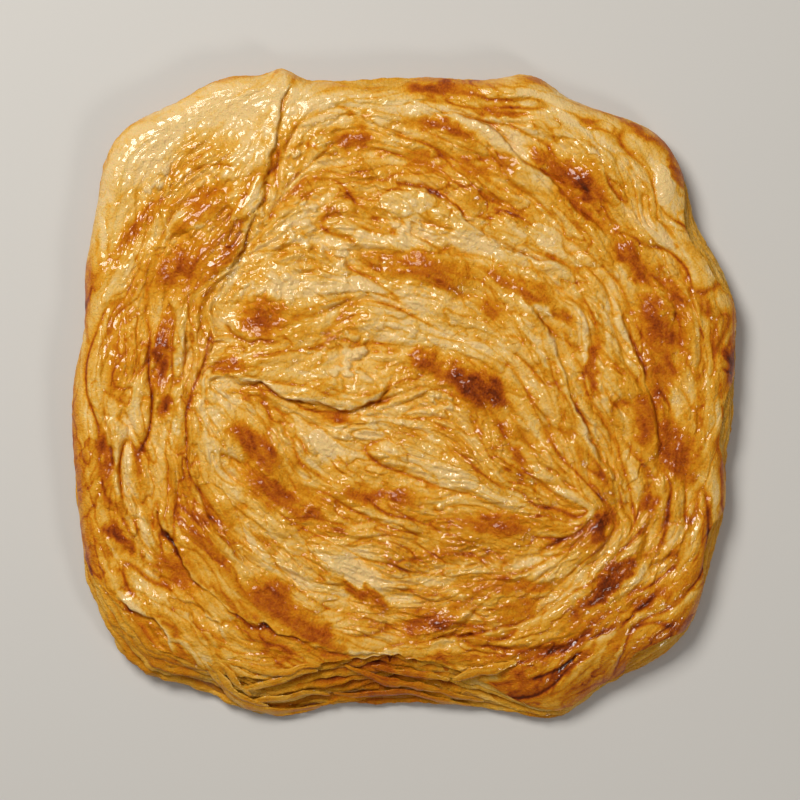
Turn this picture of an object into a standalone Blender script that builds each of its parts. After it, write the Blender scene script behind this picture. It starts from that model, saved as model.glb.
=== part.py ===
"""Malawah: one pan-baked, coiled and laminated flatbread, lying flat.

The bread is one closed solid. It starts as a thin coin spun from a profile. Every vertex
of the coin is then moved: the coin's edge goes to the outline and its skirt of stacked
layers, and its top takes the strands of the coil, the folds and the blisters.
Units are metres, +Z is up, and the origin is under the middle, on the surface it rests on.
"""

import math

import bmesh
import bpy
import numpy as np

MM = 0.001

# The outline seen from above: a rounded square with soft lobes and notches.
HALF_WIDTH = 114.5 * MM
HALF_DEPTH = 108.5 * MM
SQUARENESS = 2.6
# Each lobe: its middle angle and half angle in degrees, and how far it stands out.
LOBES = (
    (14, 6, 2.0 * MM),
    (30, 6, -3.4 * MM),
    (45, 8, 4.8 * MM),
    (68, 5.5, 4.8 * MM),
    (86, 10, 1.0 * MM),
    (110.5, 2.5, 4.0 * MM),
    (120, 9, 8.5 * MM),
    (137.5, 10, 11.4 * MM),
    (168, 8, -3.6 * MM),
    (219, 13, 9.0 * MM),
    (228, 6, 6.0 * MM),
    (244, 9, 7.5 * MM),
    (268, 7, -1.4 * MM),
    (295.5, 8.5, 9.0 * MM),
    (317, 11, 7.2 * MM),
    (348, 5, -2.2 * MM),
)
LOBES_START = 0.45

# Heights above the surface that the bread rests on.
CROWN = 17.0 * MM
SHOULDER = 14.2 * MM
BELLY = 6.0 * MM
SKIRT_TOE = 2.6 * MM

# The side: how far it slopes outwards, and how far it tucks in below its widest line.
ROUND_SLOPE = 9.0 * MM
SKIRT_SLOPE = 19.0 * MM
SKIRT_MIDDLE = 268
SKIRT_HALF_ANGLE = 42
TUCK = 7.0 * MM
WIDEST = 0.8
LAYERS = 3
LAYER_DEPTH = 2.2 * MM

# The coil: rings round an oval heart that leans, which grow into the outline.
HEART = (-4 * MM, -14 * MM)
HEART_LEAN = -22
HEART_LONG = 160 * MM
HEART_SHORT = 118 * MM
RINGS_GROW = 0.1
WRAPS = 6.0
SPIRAL = 2.0
STRAND_RISE = 1.8 * MM
# Waves that make the strands wander: turns round the bread, drift, start and size in wraps.
WANDER = (
    (2, 5.0, 0.4, 0.16),
    (3, -7.0, 1.9, 0.13),
    (5, 9.0, 4.1, 0.08),
)

# Folds, where one layer lies over the next: the edge of the upper layer, as points from
# above in millimetres, and the height of its step. A step above 0 raises the left side.
FOLDS = {
    "outer_tail": (((-36, 110), (-40, 90), (-56, 56), (-72, 34)), -3.2 * MM, 26 * MM),
    "left_channel": (((-72, 34), (-74, 14), (-68, -22), (-50, -60), (-22, -90)), -1.2 * MM, 9 * MM),
    "lower_left_crack": (((-84, -44), (-74, -57), (-48, -80), (-13, -95), (14, -96)), 1.8 * MM, 11 * MM),
    "right_crack": (((26, 57), (52, 38), (64, 8), (77, -44)), -1.4 * MM, 10 * MM),
    "right_strand": (((63, 36), (76, 12), (86, -10), (87, -28)), -1.2 * MM, 8 * MM),
    "heart_flap": (((-64, 10), (-46, 3), (-20, -4), (-4, 4), (0, 14)), 2.6 * MM, 12 * MM),
    "upper_ridge": (((3, 101), (22, 97), (48, 75), (66, 50)), -1.2 * MM, 9 * MM),
    "crest_lines": (((-9, 73), (10, 68), (34, 52), (58, 44)), -1.2 * MM, 8 * MM),
    "lower_right_fold": (((94, -62), (78, -77), (62, -87), (50, -101)), 2.0 * MM, 10 * MM),
    "toe_fold": (((80, -77), (75, -87), (71, -97)), -2.0 * MM, 8 * MM),
}
LIP_SOFTNESS = 2.6 * MM
CREASE_WIDTH = 3.6 * MM
CREASE_SHARE = 0.45

# Blisters that the heat raised: place, length, width, lean in degrees and height.
BLISTERS = (
    (28, 3, 13, 8, -28, 1.6),
    (11, 10, 9, 6, -20, 0.9),
    (8, 44, 20, 8, -12, 1.7),
    (-77, 47, 15, 13, 20, 2.0),
    (-48, 31, 11, 9, 10, 1.6),
    (-18, 89, 10, 7, 0, 0.9),
    (57, 79, 17, 8, -42, 1.3),
    (40, 36, 18, 10, -20, 1.2),
    (85, 24, 14, 9, -50, 1.5),
    (94, -20, 17, 8, -65, 1.5),
    (-51, -14, 15, 8, -48, 1.5),
    (-36, -73, 24, 9, -40, 1.8),
    (35, -44, 18, 8, -6, 1.0),
    (5, 63, 15, 6, -8, 1.4),
    (30, 53, 13, 6, -22, 1.3),
    (-85, 86, 18, 12, 48, 1.0),
)

# How finely the solid is cut.
COLUMNS = 124
TOP_ROWS = 31
SIDE_ROWS = 15

CRUST_COLOUR = (0.62, 0.33, 0.085, 1.0)
CRUST_ROUGHNESS = 0.42


def smooth_step(low, high, value):
    """0 below low, 1 above high, and a smooth rise between them."""
    share = np.clip((value - low) / (high - low), 0.0, 1.0)
    return share * share * (3.0 - 2.0 * share)


def degrees_from(angle, middle):
    """The angle from a middle direction, in degrees from -180 to 180."""
    return (np.degrees(angle) - middle + 180.0) % 360.0 - 180.0


def rounded_square(angle):
    """The outline without its lobes."""
    across = np.abs(np.cos(angle) / HALF_WIDTH) ** SQUARENESS
    along = np.abs(np.sin(angle) / HALF_DEPTH) ** SQUARENESS
    return (across + along) ** (-1.0 / SQUARENESS)


def lobes(angle):
    """How far the lobes and notches stand out of the rounded square."""
    total = np.zeros(angle.shape)
    for middle, half_angle, height in LOBES:
        total += height * np.exp(-((degrees_from(angle, middle) / half_angle) ** 2))
    return total


def skirt_share(angle):
    """1 where the layered skirt shows, along the near side, and 0 where the side is round."""
    return np.exp(-((degrees_from(angle, SKIRT_MIDDLE) / SKIRT_HALF_ANGLE) ** 4))


def heart_oval(angle):
    """The reach of the leaning oval that the innermost rings follow."""
    turn = angle - math.radians(HEART_LEAN)
    return 1.0 / np.hypot(np.cos(turn) / HEART_LONG, np.sin(turn) / HEART_SHORT)


def ring_place(angle, ring, inset):
    """The place seen from above of a point on a ring: 0 is the heart and 1 the shoulder."""
    grown = smooth_step(RINGS_GROW, 1.0, ring)
    edge = rounded_square(angle) - inset
    reach = ring * ((1.0 - grown) * heart_oval(angle) + grown * edge)
    reach = reach + lobes(angle) * smooth_step(LOBES_START, 1.0, ring)
    x = HEART[0] * (1.0 - grown) + reach * np.cos(angle)
    y = HEART[1] * (1.0 - grown) + reach * np.sin(angle)
    return x, y


def strand_height(angle, ring):
    """The coil's strands: each rises outwards and drops at the crease to the next."""
    wraps = ring * WRAPS + SPIRAL * angle / math.tau
    for turns, drift, start, size in WANDER:
        wraps = wraps + size * np.sin(turns * angle + drift * ring + start)
    share = wraps % 1.0
    rise = smooth_step(0.0, 0.6, share) * (1.0 - smooth_step(0.7, 1.0, share))
    strength = 0.65 + 0.35 * np.sin(2 * angle + 8 * ring + 0.7)
    return STRAND_RISE * rise * strength * smooth_step(0.04, 0.2, ring)


def curve_through(points, steps=24):
    """A smooth line through a few points, by Catmull-Rom, in metres."""
    knots = np.array(points, float) * MM
    knots = np.vstack([2 * knots[0] - knots[1], knots, 2 * knots[-1] - knots[-2]])
    spans = []
    for before, start, end, after in zip(knots, knots[1:], knots[2:], knots[3:]):
        t = np.linspace(0.0, 1.0, steps, endpoint=False)[:, None]
        spans.append(
            0.5
            * (
                2 * start
                + (end - before) * t
                + (2 * before - 5 * start + 4 * end - after) * t**2
                + (3 * start - before - 3 * end + after) * t**3
            )
        )
    return np.vstack([*spans, knots[-2:-1]])


def beside_curve(x, y, line):
    """Signed distance to a line, positive on its left, and the share of the line passed."""
    nearest = np.full(x.shape, np.inf)
    side = np.zeros(x.shape)
    passed = np.zeros(x.shape)
    for i, (start, end) in enumerate(zip(line, line[1:])):
        run = end - start
        share = ((x - start[0]) * run[0] + (y - start[1]) * run[1]) / (run @ run)
        share = np.clip(share, 0.0, 1.0)
        dx = x - start[0] - share * run[0]
        dy = y - start[1] - share * run[1]
        distance = np.hypot(dx, dy)
        closer = distance < nearest
        nearest = np.where(closer, distance, nearest)
        side = np.where(closer, np.sign(run[0] * dy - run[1] * dx), side)
        passed = np.where(closer, (i + share) / (len(line) - 1), passed)
    return nearest * side, passed


def fold_height(x, y):
    """Each fold's step: a lip that fades away from its edge, and a crease at its foot."""
    total = np.zeros(x.shape)
    for points, step, width in FOLDS.values():
        distance, passed = beside_curve(x, y, curve_through(points))
        if step < 0:
            distance = -distance
        ends = smooth_step(0.0, 0.18, passed) * (1.0 - smooth_step(0.82, 1.0, passed))
        lip = smooth_step(-LIP_SOFTNESS, LIP_SOFTNESS, distance)
        lip = lip * np.exp(-((np.maximum(distance, 0.0) / width) ** 2))
        crease = np.exp(-(((distance + CREASE_WIDTH) / CREASE_WIDTH) ** 2))
        total += abs(step) * ends * (lip - CREASE_SHARE * crease)
    return total


def blister_height(x, y):
    """Low domes where steam lifted the top layer."""
    total = np.zeros(x.shape)
    for middle_x, middle_y, length, width, lean, height in BLISTERS:
        turn = math.radians(lean)
        dx, dy = x / MM - middle_x, y / MM - middle_y
        along = (dx * math.cos(turn) + dy * math.sin(turn)) / length
        across = (dy * math.cos(turn) - dx * math.sin(turn)) / width
        total += height * MM * np.exp(-(along**2 + across**2))
    return total


def top_height(x, y, angle, ring):
    """Height of the upper crust at a point seen from above."""
    dome = SHOULDER + (CROWN - SHOULDER) * (1.0 - smooth_step(0.2, 1.0, ring))
    relief = strand_height(angle, ring) + fold_height(x, y) + blister_height(x, y)
    return dome + relief * (1.0 - smooth_step(0.93, 1.0, ring))


def sculpt(coin):
    """Where each vertex of the coin goes. The coin has a radius of 1 and faces at z 1 and -1."""
    cx, cy, cz = coin.T
    angle = np.arctan2(cy, cx)
    ring = np.minimum(np.hypot(cx, cy), 1.0)
    skirt = skirt_share(angle)
    slope = ROUND_SLOPE + (SKIRT_SLOPE - ROUND_SLOPE) * skirt
    toe = BELLY + (SKIRT_TOE - BELLY) * skirt

    x, y = ring_place(angle, ring, slope)
    crest = top_height(x, y, angle, ring)

    down = (1.0 - cz) / 2.0
    outward = np.clip(down / WIDEST, 0.0, 1.0)
    inward = np.clip((down - WIDEST) / (1.0 - WIDEST), 0.0, 1.0)
    roundness = 2.1 - 0.8 * skirt
    falls = (1.0 - outward**roundness) ** (1.0 / roundness)
    wave = 0.35 * np.sin(3 * angle + 0.8) + 0.2 * np.sin(7 * angle + 2.1)
    layer = outward * LAYERS + wave * outward * (1.0 - outward) * 4.0
    groove = 0.5 * LAYER_DEPTH * (np.cos(layer * math.tau) - 1.0) * (0.35 + 0.65 * skirt)
    outset = slope * outward + groove * smooth_step(0.0, 0.12, outward) * (inward <= 0)
    outset = outset - TUCK * (1.0 - np.cos(inward * math.pi / 2))
    height = toe + (crest - toe) * falls
    height = np.where(inward > 0, toe * (1.0 - np.sin(inward * math.pi / 2)), height)

    # The flat underside shrinks evenly towards its middle.
    under = cz < -0.999
    x = x + outset * np.cos(angle)
    y = y + outset * np.sin(angle)
    x = np.where(under & (ring < 0.5), 0.0, x)
    y = np.where(under & (ring < 0.5), 0.0, y)
    return np.stack([x, y, np.where(under, 0.0, height)], axis=1)


def coin_profile():
    """The coin's half section, from the middle of its top round to the middle of its base."""
    points = [(i / TOP_ROWS, 1.0) for i in range(TOP_ROWS + 1)]
    points += [(1.0, 1.0 - 2.0 * i / SIDE_ROWS) for i in range(1, SIDE_ROWS + 1)]
    points += [(0.0, -1.0)]
    return points


def make_bread():
    """The whole bread as one closed mesh object."""
    shape = bmesh.new()
    verts = [shape.verts.new((radius, 0.0, height)) for radius, height in coin_profile()]
    edges = [shape.edges.new(pair) for pair in zip(verts, verts[1:])]
    bmesh.ops.spin(
        shape,
        geom=verts + edges,
        cent=(0, 0, 0),
        axis=(0, 0, 1),
        angle=math.tau,
        steps=COLUMNS,
        use_merge=True,
    )
    bmesh.ops.remove_doubles(shape, verts=shape.verts, dist=1e-5)
    bmesh.ops.recalc_face_normals(shape, faces=shape.faces)
    placed = sculpt(np.array([v.co for v in shape.verts]))
    for vert, place in zip(shape.verts, placed):
        vert.co = place
    bmesh.ops.triangulate(shape, faces=shape.faces)
    mesh = bpy.data.meshes.new("flatbread")
    shape.to_mesh(mesh)
    shape.free()
    mesh.shade_smooth()
    bread = bpy.data.objects.new("flatbread", mesh)
    bpy.context.scene.collection.objects.link(bread)
    return bread


def crust_material():
    """Baked dough with a film of butter."""
    crust = bpy.data.materials.new("baked_crust")
    crust.use_nodes = True
    shader = crust.node_tree.nodes["Principled BSDF"]
    shader.inputs["Base Color"].default_value = CRUST_COLOUR
    shader.inputs["Roughness"].default_value = CRUST_ROUGHNESS
    return crust


def main():
    for old in list(bpy.data.objects):
        bpy.data.objects.remove(old, do_unlink=True)
    bread = make_bread()
    bread.data.materials.append(crust_material())


main()
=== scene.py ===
# %% [markdown]
# # A malawah: one coiled, laminated flatbread
# The dough is rolled thin, buttered, folded into a rope, coiled and pressed flat, and then baked in a pan.
# So its top is a coil of flattened strands, each made of many paper-thin layers, with blisters where steam
# lifted the skin and a flaky edge where the layers end. The pieces here are the top crust, the stack of
# leaves round the edge, and the body of crumb inside with its pan-baked underside.

import math

import bmesh
import bpy
import numpy as np
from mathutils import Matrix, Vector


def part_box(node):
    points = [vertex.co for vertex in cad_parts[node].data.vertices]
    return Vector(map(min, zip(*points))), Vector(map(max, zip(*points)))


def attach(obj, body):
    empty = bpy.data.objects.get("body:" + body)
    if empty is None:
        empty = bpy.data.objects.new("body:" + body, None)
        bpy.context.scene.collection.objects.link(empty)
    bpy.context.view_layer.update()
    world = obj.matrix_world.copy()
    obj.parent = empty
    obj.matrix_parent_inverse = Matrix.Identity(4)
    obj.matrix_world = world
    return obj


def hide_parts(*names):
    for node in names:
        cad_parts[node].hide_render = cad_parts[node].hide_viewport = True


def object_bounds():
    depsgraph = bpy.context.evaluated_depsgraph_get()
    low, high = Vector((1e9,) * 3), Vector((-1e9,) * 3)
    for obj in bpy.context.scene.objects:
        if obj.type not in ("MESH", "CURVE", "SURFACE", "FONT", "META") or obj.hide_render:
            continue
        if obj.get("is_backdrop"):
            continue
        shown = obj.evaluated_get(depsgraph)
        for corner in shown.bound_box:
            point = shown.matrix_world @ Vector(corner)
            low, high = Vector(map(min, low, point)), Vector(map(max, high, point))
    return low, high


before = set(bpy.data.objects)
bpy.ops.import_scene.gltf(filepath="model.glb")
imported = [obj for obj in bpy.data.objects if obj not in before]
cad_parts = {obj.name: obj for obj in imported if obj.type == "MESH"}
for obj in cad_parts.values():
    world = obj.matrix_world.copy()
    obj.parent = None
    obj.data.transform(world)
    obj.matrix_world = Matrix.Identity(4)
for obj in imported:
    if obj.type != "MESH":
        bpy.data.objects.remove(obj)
cad_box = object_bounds()
LOW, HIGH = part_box("flatbread")
# The shapes below are written in millimetres of a bread this wide and high.
WIDE_MM, HIGH_MM = 229.7, 21.07
TO_METRES = (HIGH.x - LOW.x) / WIDE_MM
UP_TO_METRES = (HIGH.z - LOW.z) / HIGH_MM
print("the bread is", round(HIGH.x - LOW.x, 4), "by", round(HIGH.y - LOW.y, 4), "m")

# %% [markdown]
# ## Noise
# Dough is uneven at every scale. Gradient noise is worked out here for all the vertices at once, so the
# same unevenness can move the mesh and place the browning.

# %% Gradient noise on arrays
MIX = (374761393, 668265263, 3266489917, 2654435761, 1274126177)


def scramble(ix, iy, iz, seed):
    """A repeatable random whole number for every corner of a grid of cells."""
    total = np.uint32(seed * MIX[3] & 0xFFFFFFFF) * np.ones(ix.shape, np.uint32)
    for cell, factor in zip((ix, iy, iz), MIX):
        total += cell.astype(np.int64).astype(np.uint32) * np.uint32(factor)
    total = (total ^ (total >> np.uint32(13))) * np.uint32(MIX[4])
    total = (total ^ (total >> np.uint32(16))) * np.uint32(MIX[1])
    return total ^ (total >> np.uint32(15))


def noise(x, y, z=0.0, seed=0):
    """Smooth noise between about -1 and 1 that changes over one unit."""
    points = [np.array(a, float) for a in np.broadcast_arrays(x, y, z)]
    cells = [np.floor(a) for a in points]
    parts = [a - c for a, c in zip(points, cells)]
    fades = [p * p * p * (p * (p * 6 - 15) + 10) for p in parts]
    total = np.zeros(points[0].shape)
    for corner in range(8):
        steps = (corner & 1, corner >> 1 & 1, corner >> 2)
        bits = scramble(*[c + s for c, s in zip(cells, steps)], seed)
        weight, slope = 1.0, 0.0
        for axis in range(3):
            tilt = ((bits >> np.uint32(10 * axis)) & np.uint32(1023)) / 511.5 - 1.0
            weight = weight * (fades[axis] if steps[axis] else 1.0 - fades[axis])
            slope = slope + tilt * (parts[axis] - steps[axis])
        total += weight * slope
    return total * 1.5


def scattered(x, y, seed):
    """Scattered points, one to a unit cell: the distance to the nearest, and a random number of its own."""
    points = [np.array(a, float) for a in np.broadcast_arrays(x, y, 0.0)]
    bases = [np.floor(a) for a in points]
    nearest = np.full(points[0].shape, 9.0)
    chosen = np.zeros(nearest.shape, np.uint32)
    for step in range(27):
        offsets = (step % 3 - 1, step // 3 % 3 - 1, step // 9 - 1)
        corner = [b + o for b, o in zip(bases, offsets)]
        bits = scramble(*corner, seed)
        spread = [((bits >> np.uint32(10 * axis)) & np.uint32(1023)) / 1023.0 for axis in range(3)]
        gaps = np.array([c + s - p for c, s, p in zip(corner, spread, points)])
        distance = np.sqrt((gaps**2).sum(0))
        closer = distance < nearest
        nearest = np.where(closer, distance, nearest)
        chosen = np.where(closer, bits, chosen)
    lot = chosen * np.uint32(MIX[4])
    return nearest, ((lot >> np.uint32(2)) & np.uint32(255)) / 127.5 - 1.0


def smooth_step(low, high, value):
    """0 below low, 1 above high, and a smooth rise between them."""
    share = np.clip((value - low) / (high - low), 0.0, 1.0)
    return share * share * (3.0 - 2.0 * share)


def bell(value, middle, width):
    """1 in the middle, and a smooth fall to 0 on both sides of it."""
    return np.exp(-(((value - middle) / width) ** 2))


def ring_noise(scale, angle, drift=0.0, seed=0):
    """Noise round the bread, with no seam: the scale says how fast it changes, and the drift shifts it."""
    return noise(scale * np.cos(angle), scale * np.sin(angle), drift, seed=seed)


# %% [markdown]
# ## The outline and the rings
# The real bread is a rounded square, because the coil was pressed into shape by hand. The same named
# values as the solid part's are used, so the looks sit on the part: a rounded square with soft lobes,
# and rings that grow from a leaning oval heart into that outline.

# %% The outline
HALF_WIDTH, HALF_DEPTH, SQUARENESS = 114.5, 108.5, 2.6
LOBES = (
    (14, 6, 2.0), (30, 6, -3.4), (45, 8, 4.8), (68, 5.5, 4.8), (86, 10, 1.0), (110.5, 2.5, 4.0),
    (120, 9, 8.5), (137.5, 10, 11.4), (168, 8, -3.6), (219, 13, 9.0), (228, 6, 6.0), (244, 9, 7.5),
    (268, 7, -1.4), (295.5, 8.5, 9.0), (317, 11, 7.2), (348, 5, -2.2),
)
LOBES_START = 0.45
HEART = (-4.0, -14.0)
HEART_LEAN, HEART_LONG, HEART_SHORT = -22, 160.0, 118.0
RINGS_GROW = 0.1


def degrees_from(angle, middle):
    """The angle from a middle direction, in degrees from -180 to 180."""
    return (np.degrees(angle) - middle + 180.0) % 360.0 - 180.0


def rounded_square(angle):
    """The outline without its lobes."""
    across = np.abs(np.cos(angle) / HALF_WIDTH) ** SQUARENESS
    along = np.abs(np.sin(angle) / HALF_DEPTH) ** SQUARENESS
    return (across + along) ** (-1.0 / SQUARENESS)


def lobes(angle):
    """How far the lobes and notches stand out of the rounded square."""
    total = np.zeros(angle.shape)
    for middle, half_angle, height in LOBES:
        total += height * bell(degrees_from(angle, middle), 0.0, half_angle)
    return total


def heart_oval(angle):
    """The reach of the leaning oval that the innermost rings follow."""
    turn = angle - math.radians(HEART_LEAN)
    return 1.0 / np.hypot(np.cos(turn) / HEART_LONG, np.sin(turn) / HEART_SHORT)


def ring_place(angle, ring, inset):
    """The place seen from above of a point on a ring: 0 is the heart and 1 the shoulder."""
    grown = smooth_step(RINGS_GROW, 1.0, ring)
    edge = rounded_square(angle) - inset
    reach = ring * ((1.0 - grown) * heart_oval(angle) + grown * edge)
    reach = reach + lobes(angle) * smooth_step(LOBES_START, 1.0, ring)
    x = HEART[0] * (1.0 - grown) + reach * np.cos(angle)
    y = HEART[1] * (1.0 - grown) + reach * np.sin(angle)
    return x, y


# %% The side's profile
CROWN, SHOULDER, BELLY, SKIRT_TOE = 17.0, 14.2, 6.0, 2.6
ROUND_SLOPE, SKIRT_SLOPE, SKIRT_MIDDLE, SKIRT_HALF_ANGLE = 9.0, 19.0, 268, 42


def skirt_share(angle):
    """1 where the layered skirt shows, along the near side, and 0 where the side is round."""
    return np.exp(-((degrees_from(angle, SKIRT_MIDDLE) / SKIRT_HALF_ANGLE) ** 4))


def side_slope(angle):
    """How far the side reaches beyond the shoulder."""
    return ROUND_SLOPE + (SKIRT_SLOPE - ROUND_SLOPE) * skirt_share(angle)


def side_height(angle, outward, crest):
    """Height of the side: the crest at its top, where outward is 0, and the toe where it is 1."""
    skirt = skirt_share(angle)
    toe = BELLY + (SKIRT_TOE - BELLY) * skirt
    roundness = 2.1 - 0.8 * skirt
    falls = (1.0 - np.clip(outward, 0.0, 1.0) ** roundness) ** (1.0 / roundness)
    return toe + (crest - toe) * falls


# %% [markdown]
# ## Maps of the top
# What happens on the top is worked out on square maps, with a cell for every third of a millimetre, before
# any mesh is made. A map is cheap to blur and to comb along the fibres, and each vertex then reads its
# height and its browning from the maps at its own place.

# %% Making, blurring and reading maps
MAP_STEP, MAP_CELLS = 0.3, 800
MAP_HALF = MAP_STEP * (MAP_CELLS - 1) / 2
map_line = np.linspace(-MAP_HALF, MAP_HALF, MAP_CELLS)
MAP_X, MAP_Y = np.meshgrid(map_line, map_line)
BLOB_PER_BLUR = 4.4


def read_map(field, x, y):
    """A map's values at places in millimetres, evened out between its cells."""
    size = len(field)
    step = 2.0 * MAP_HALF / (size - 1)
    column = np.clip((x + MAP_HALF) / step, 0.0, size - 1.001)
    row = np.clip((y + MAP_HALF) / step, 0.0, size - 1.001)
    left, low = column.astype(int), row.astype(int)
    across, up = column - left, row - low
    bottom = field[low, left] * (1.0 - across) + field[low, left + 1] * across
    top = field[low + 1, left] * (1.0 - across) + field[low + 1, left + 1] * across
    return bottom * (1.0 - up) + top * up


def blurred(field, width):
    """A map softened by a Gaussian bell of this width."""
    across = np.fft.rfftfreq(MAP_CELLS, MAP_STEP)[None, :]
    along = np.fft.fftfreq(MAP_CELLS, MAP_STEP)[:, None]
    gain = np.exp(-2.0 * (math.pi * width) ** 2 * (across**2 + along**2))
    return np.fft.irfft2(np.fft.rfft2(field) * gain, field.shape)


def evened(field):
    """A map with a mean of 0 and a spread of 1."""
    return (field - field.mean()) / field.std()


def speckle(width, seed):
    """Even noise with blobs of about this width in millimetres."""
    rough = np.random.default_rng(seed).standard_normal(MAP_X.shape)
    return evened(blurred(rough, width / BLOB_PER_BLUR))


# %% [markdown]
# ## Folds
# Each fold is the edge of a layer that lies over the next. It is a line through a few places that a
# baker would point to, with a lip on its high side and a crease at its foot.

# %% The folds' lines
# name: places in millimetres, height of the step (above 0 raises the left side), width of the lip
FOLDS = {
    "outer_tail": (((-36, 112), (-42, 98), (-48, 70), (-58, 46), (-72, 32)), -2.2, 9),
    "tail_inner": (((-60, 90), (-69, 81), (-80, 72), (-87, 54), (-95, 47)), 0.8, 7),
    "left_channel": (((-72, 34), (-75, 14), (-74, -22), (-60, -52), (-34, -78)), -1.2, 9),
    "lower_left_crack": (((-84, -34), (-80, -48), (-63, -70), (-46, -80), (-22, -88), (8, -90)), 2.4, 9),
    "right_crack": (((34, 40), (50, 20), (58, -4), (68, -24), (77, -44)), -1.9, 8),
    "right_strand": (((70, 36), (79, 16), (86, -8), (88, -30)), -1.4, 7),
    "heart_flap": (
        ((-64, 9), (-56, 4), (-48, 5), (-40, -1), (-28, -3), (-17, -4), (-8, 0), (-2, 10)), 2.8, 12,
    ),
    "flap_ridge": (((-66, 6), (-53, 11), (-36, 14), (-20, 15)), -0.8, 5),
    "upper_ridge": (((-4, 100), (20, 94), (36, 84), (52, 66)), -1.7, 8),
    "crest_lines": (((-9, 73), (10, 68), (30, 53), (45, 46), (60, 42)), -1.7, 7),
    "second_crest": (((14, 64), (28, 54), (40, 47)), 1.0, 4),
    "lower_right_fold": (((96, -62), (80, -76), (64, -86), (50, -101)), 2.0, 9),
    "toe_fold": (((80, -77), (75, -87), (71, -97)), -1.8, 7),
    "torn_edge": (((-99, -69), (-92, -74), (-85, -77), (-80, -83), (-78, -92)), 3.4, 7),
    "torn_sheet": (((-102, -76), (-95, -83), (-88, -89), (-82, -97)), 2.2, 4),
    "upper_right_strand": (((3, 101), (26, 93), (44, 78), (63, 60), (72, 50)), -1.2, 5),
    "upper_right_pleat": (((38, 97), (54, 91), (66, 82), (72, 70), (83, 56)), -1.3, 5),
    "heart_arc": (((-64, 28), (-55, 20), (-46, 18), (-38, 20)), 1.1, 4),
    "heart_ridge": (((-43, 45), (-37, 48), (-31, 47), (-25, 44)), -0.8, 3),
    "lower_band": (((-20, -90), (10, -85), (38, -80), (60, -66), (74, -50)), -1.5, 7),
    "right_rim_strand": (((70, 88), (88, 66), (100, 36), (104, 4), (102, -30)), 1.0, 8),
    "left_rim_strand": (((-98, 40), (-104, 10), (-100, -22), (-88, -56)), -1.0, 7),
}
LIP_SOFTNESS, CREASE_WIDTH, CREASE_SHARE = 1.2, 0.8, 0.4
TORN_AT, TORN_WIDTH = 0.7, 0.6
LEAN_SHARE, LEAN_WIDTH = 0.4, 2.5
FOLD_REACH, FOLD_ENDS = 30.0, 0.22


def curve_through(points, steps=8):
    """A smooth line through a few points, by Catmull-Rom."""
    knots = np.array(points, float)
    knots = np.vstack([2 * knots[0] - knots[1], knots, 2 * knots[-1] - knots[-2]])
    spans = []
    for before, start, end, after in zip(knots, knots[1:], knots[2:], knots[3:]):
        t = np.linspace(0.0, 1.0, steps, endpoint=False)[:, None]
        bend = 2 * before - 5 * start + 4 * end - after
        twist = 3 * start - before - 3 * end + after
        spans.append(0.5 * (2 * start + (end - before) * t + bend * t**2 + twist * t**3))
    return np.vstack([*spans, knots[-2:-1]])


# %% [markdown]
# ## Which way the fibres run
# The coil was rolled up from a rope, so its fibres run round the heart, but pressing it flat dragged them
# into one corner. A few lines drawn along the strands say which way they run, every fold's line says so
# too, and each place between them takes a weighted mean. Angles are doubled before they are averaged,
# because a fibre has no front or back.

# %% Lines along the strands
STRAND_LINES = (
    ((-113, -46), (-113, 0), (-106, 55), (-101, 85), (-80, 100), (-49, 110)),
    ((-103, 29), (-90, 53), (-81, 67), (-58, 89), (-39, 108)),
    ((-61, 17), (-46, 18), (-29, 24), (-15, 32)),
    ((-60, 38), (-46, 47), (-32, 45), (-15, 39), (-1, 36), (12, 30)),
    ((-53, 11), (-36, 15), (-22, 17), (-10, 20)),
    ((-49, 5), (-36, 6), (-20, 3), (-6, 3)),
    ((-39, 82), (-36, 94), (-26, 101), (4, 103), (30, 105), (48, 106)),
    ((-23, 72), (2, 70), (33, 51), (55, 44), (65, 31), (74, 12), (85, -6)),
    ((-45, 55), (-23, 67), (-11, 63), (12, 56), (25, 47), (59, 27)),
    ((3, 100), (25, 92), (42, 79), (59, 60), (77, 46), (94, 30)),
    ((20, 98), (46, 95), (66, 78), (77, 59), (94, 44), (102, 20), (102, -16)),
    ((51, 106), (72, 97), (90, 85), (97, 67)),
    ((77, 94), (85, 81), (86, 68), (90, 59), (98, 55)),
    ((98, 60), (107, 46), (113, 30), (112, -2), (111, -33)),
    ((111, -33), (104, -68), (85, -92), (66, -106)),
    ((85, 1), (88, -29), (85, -39), (75, -54), (59, -75), (33, -90), (16, -93)),
    ((110, 1), (105, -33), (94, -64), (68, -83), (49, -102)),
    ((8, 24), (33, 18), (51, 4), (58, -6), (66, -27), (77, -44)),
    ((-1, 12), (12, 14), (36, -1), (51, -19)),
    ((-1, -1), (12, -2), (25, -9), (42, -25), (55, -29)),
    ((-1, -10), (20, -18), (38, -33), (58, -44)),
    ((-47, 1), (-37, -10), (-28, -23), (2, -33), (42, -41), (55, -44)),
    ((-65, -3), (-53, -29), (-28, -47), (2, -54), (51, -54), (68, -44)),
    ((-70, 1), (-67, -29), (-45, -51), (-19, -68), (2, -73), (29, -68), (52, -57)),
    ((-84, 1), (-83, -45), (-61, -72), (-37, -85), (-1, -85), (33, -76), (55, -63), (70, -45)),
    ((-98, 1), (-95, -33), (-84, -59), (-67, -81), (-45, -90)),
    ((-111, 1), (-106, -33), (-95, -63), (-73, -87), (-54, -105), (-41, -110)),
    ((-45, -111), (-1, -107), (33, -110), (54, -112)),
    ((-82, 25), (-84, 12), (-84, -16)),
    ((-72, 29), (-73, 16), (-78, 3)),
    ((63, 22), (65, 12), (67, -1)),
)
GUIDE_REACH, GUIDE_CELLS = 3.0, 81


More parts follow.
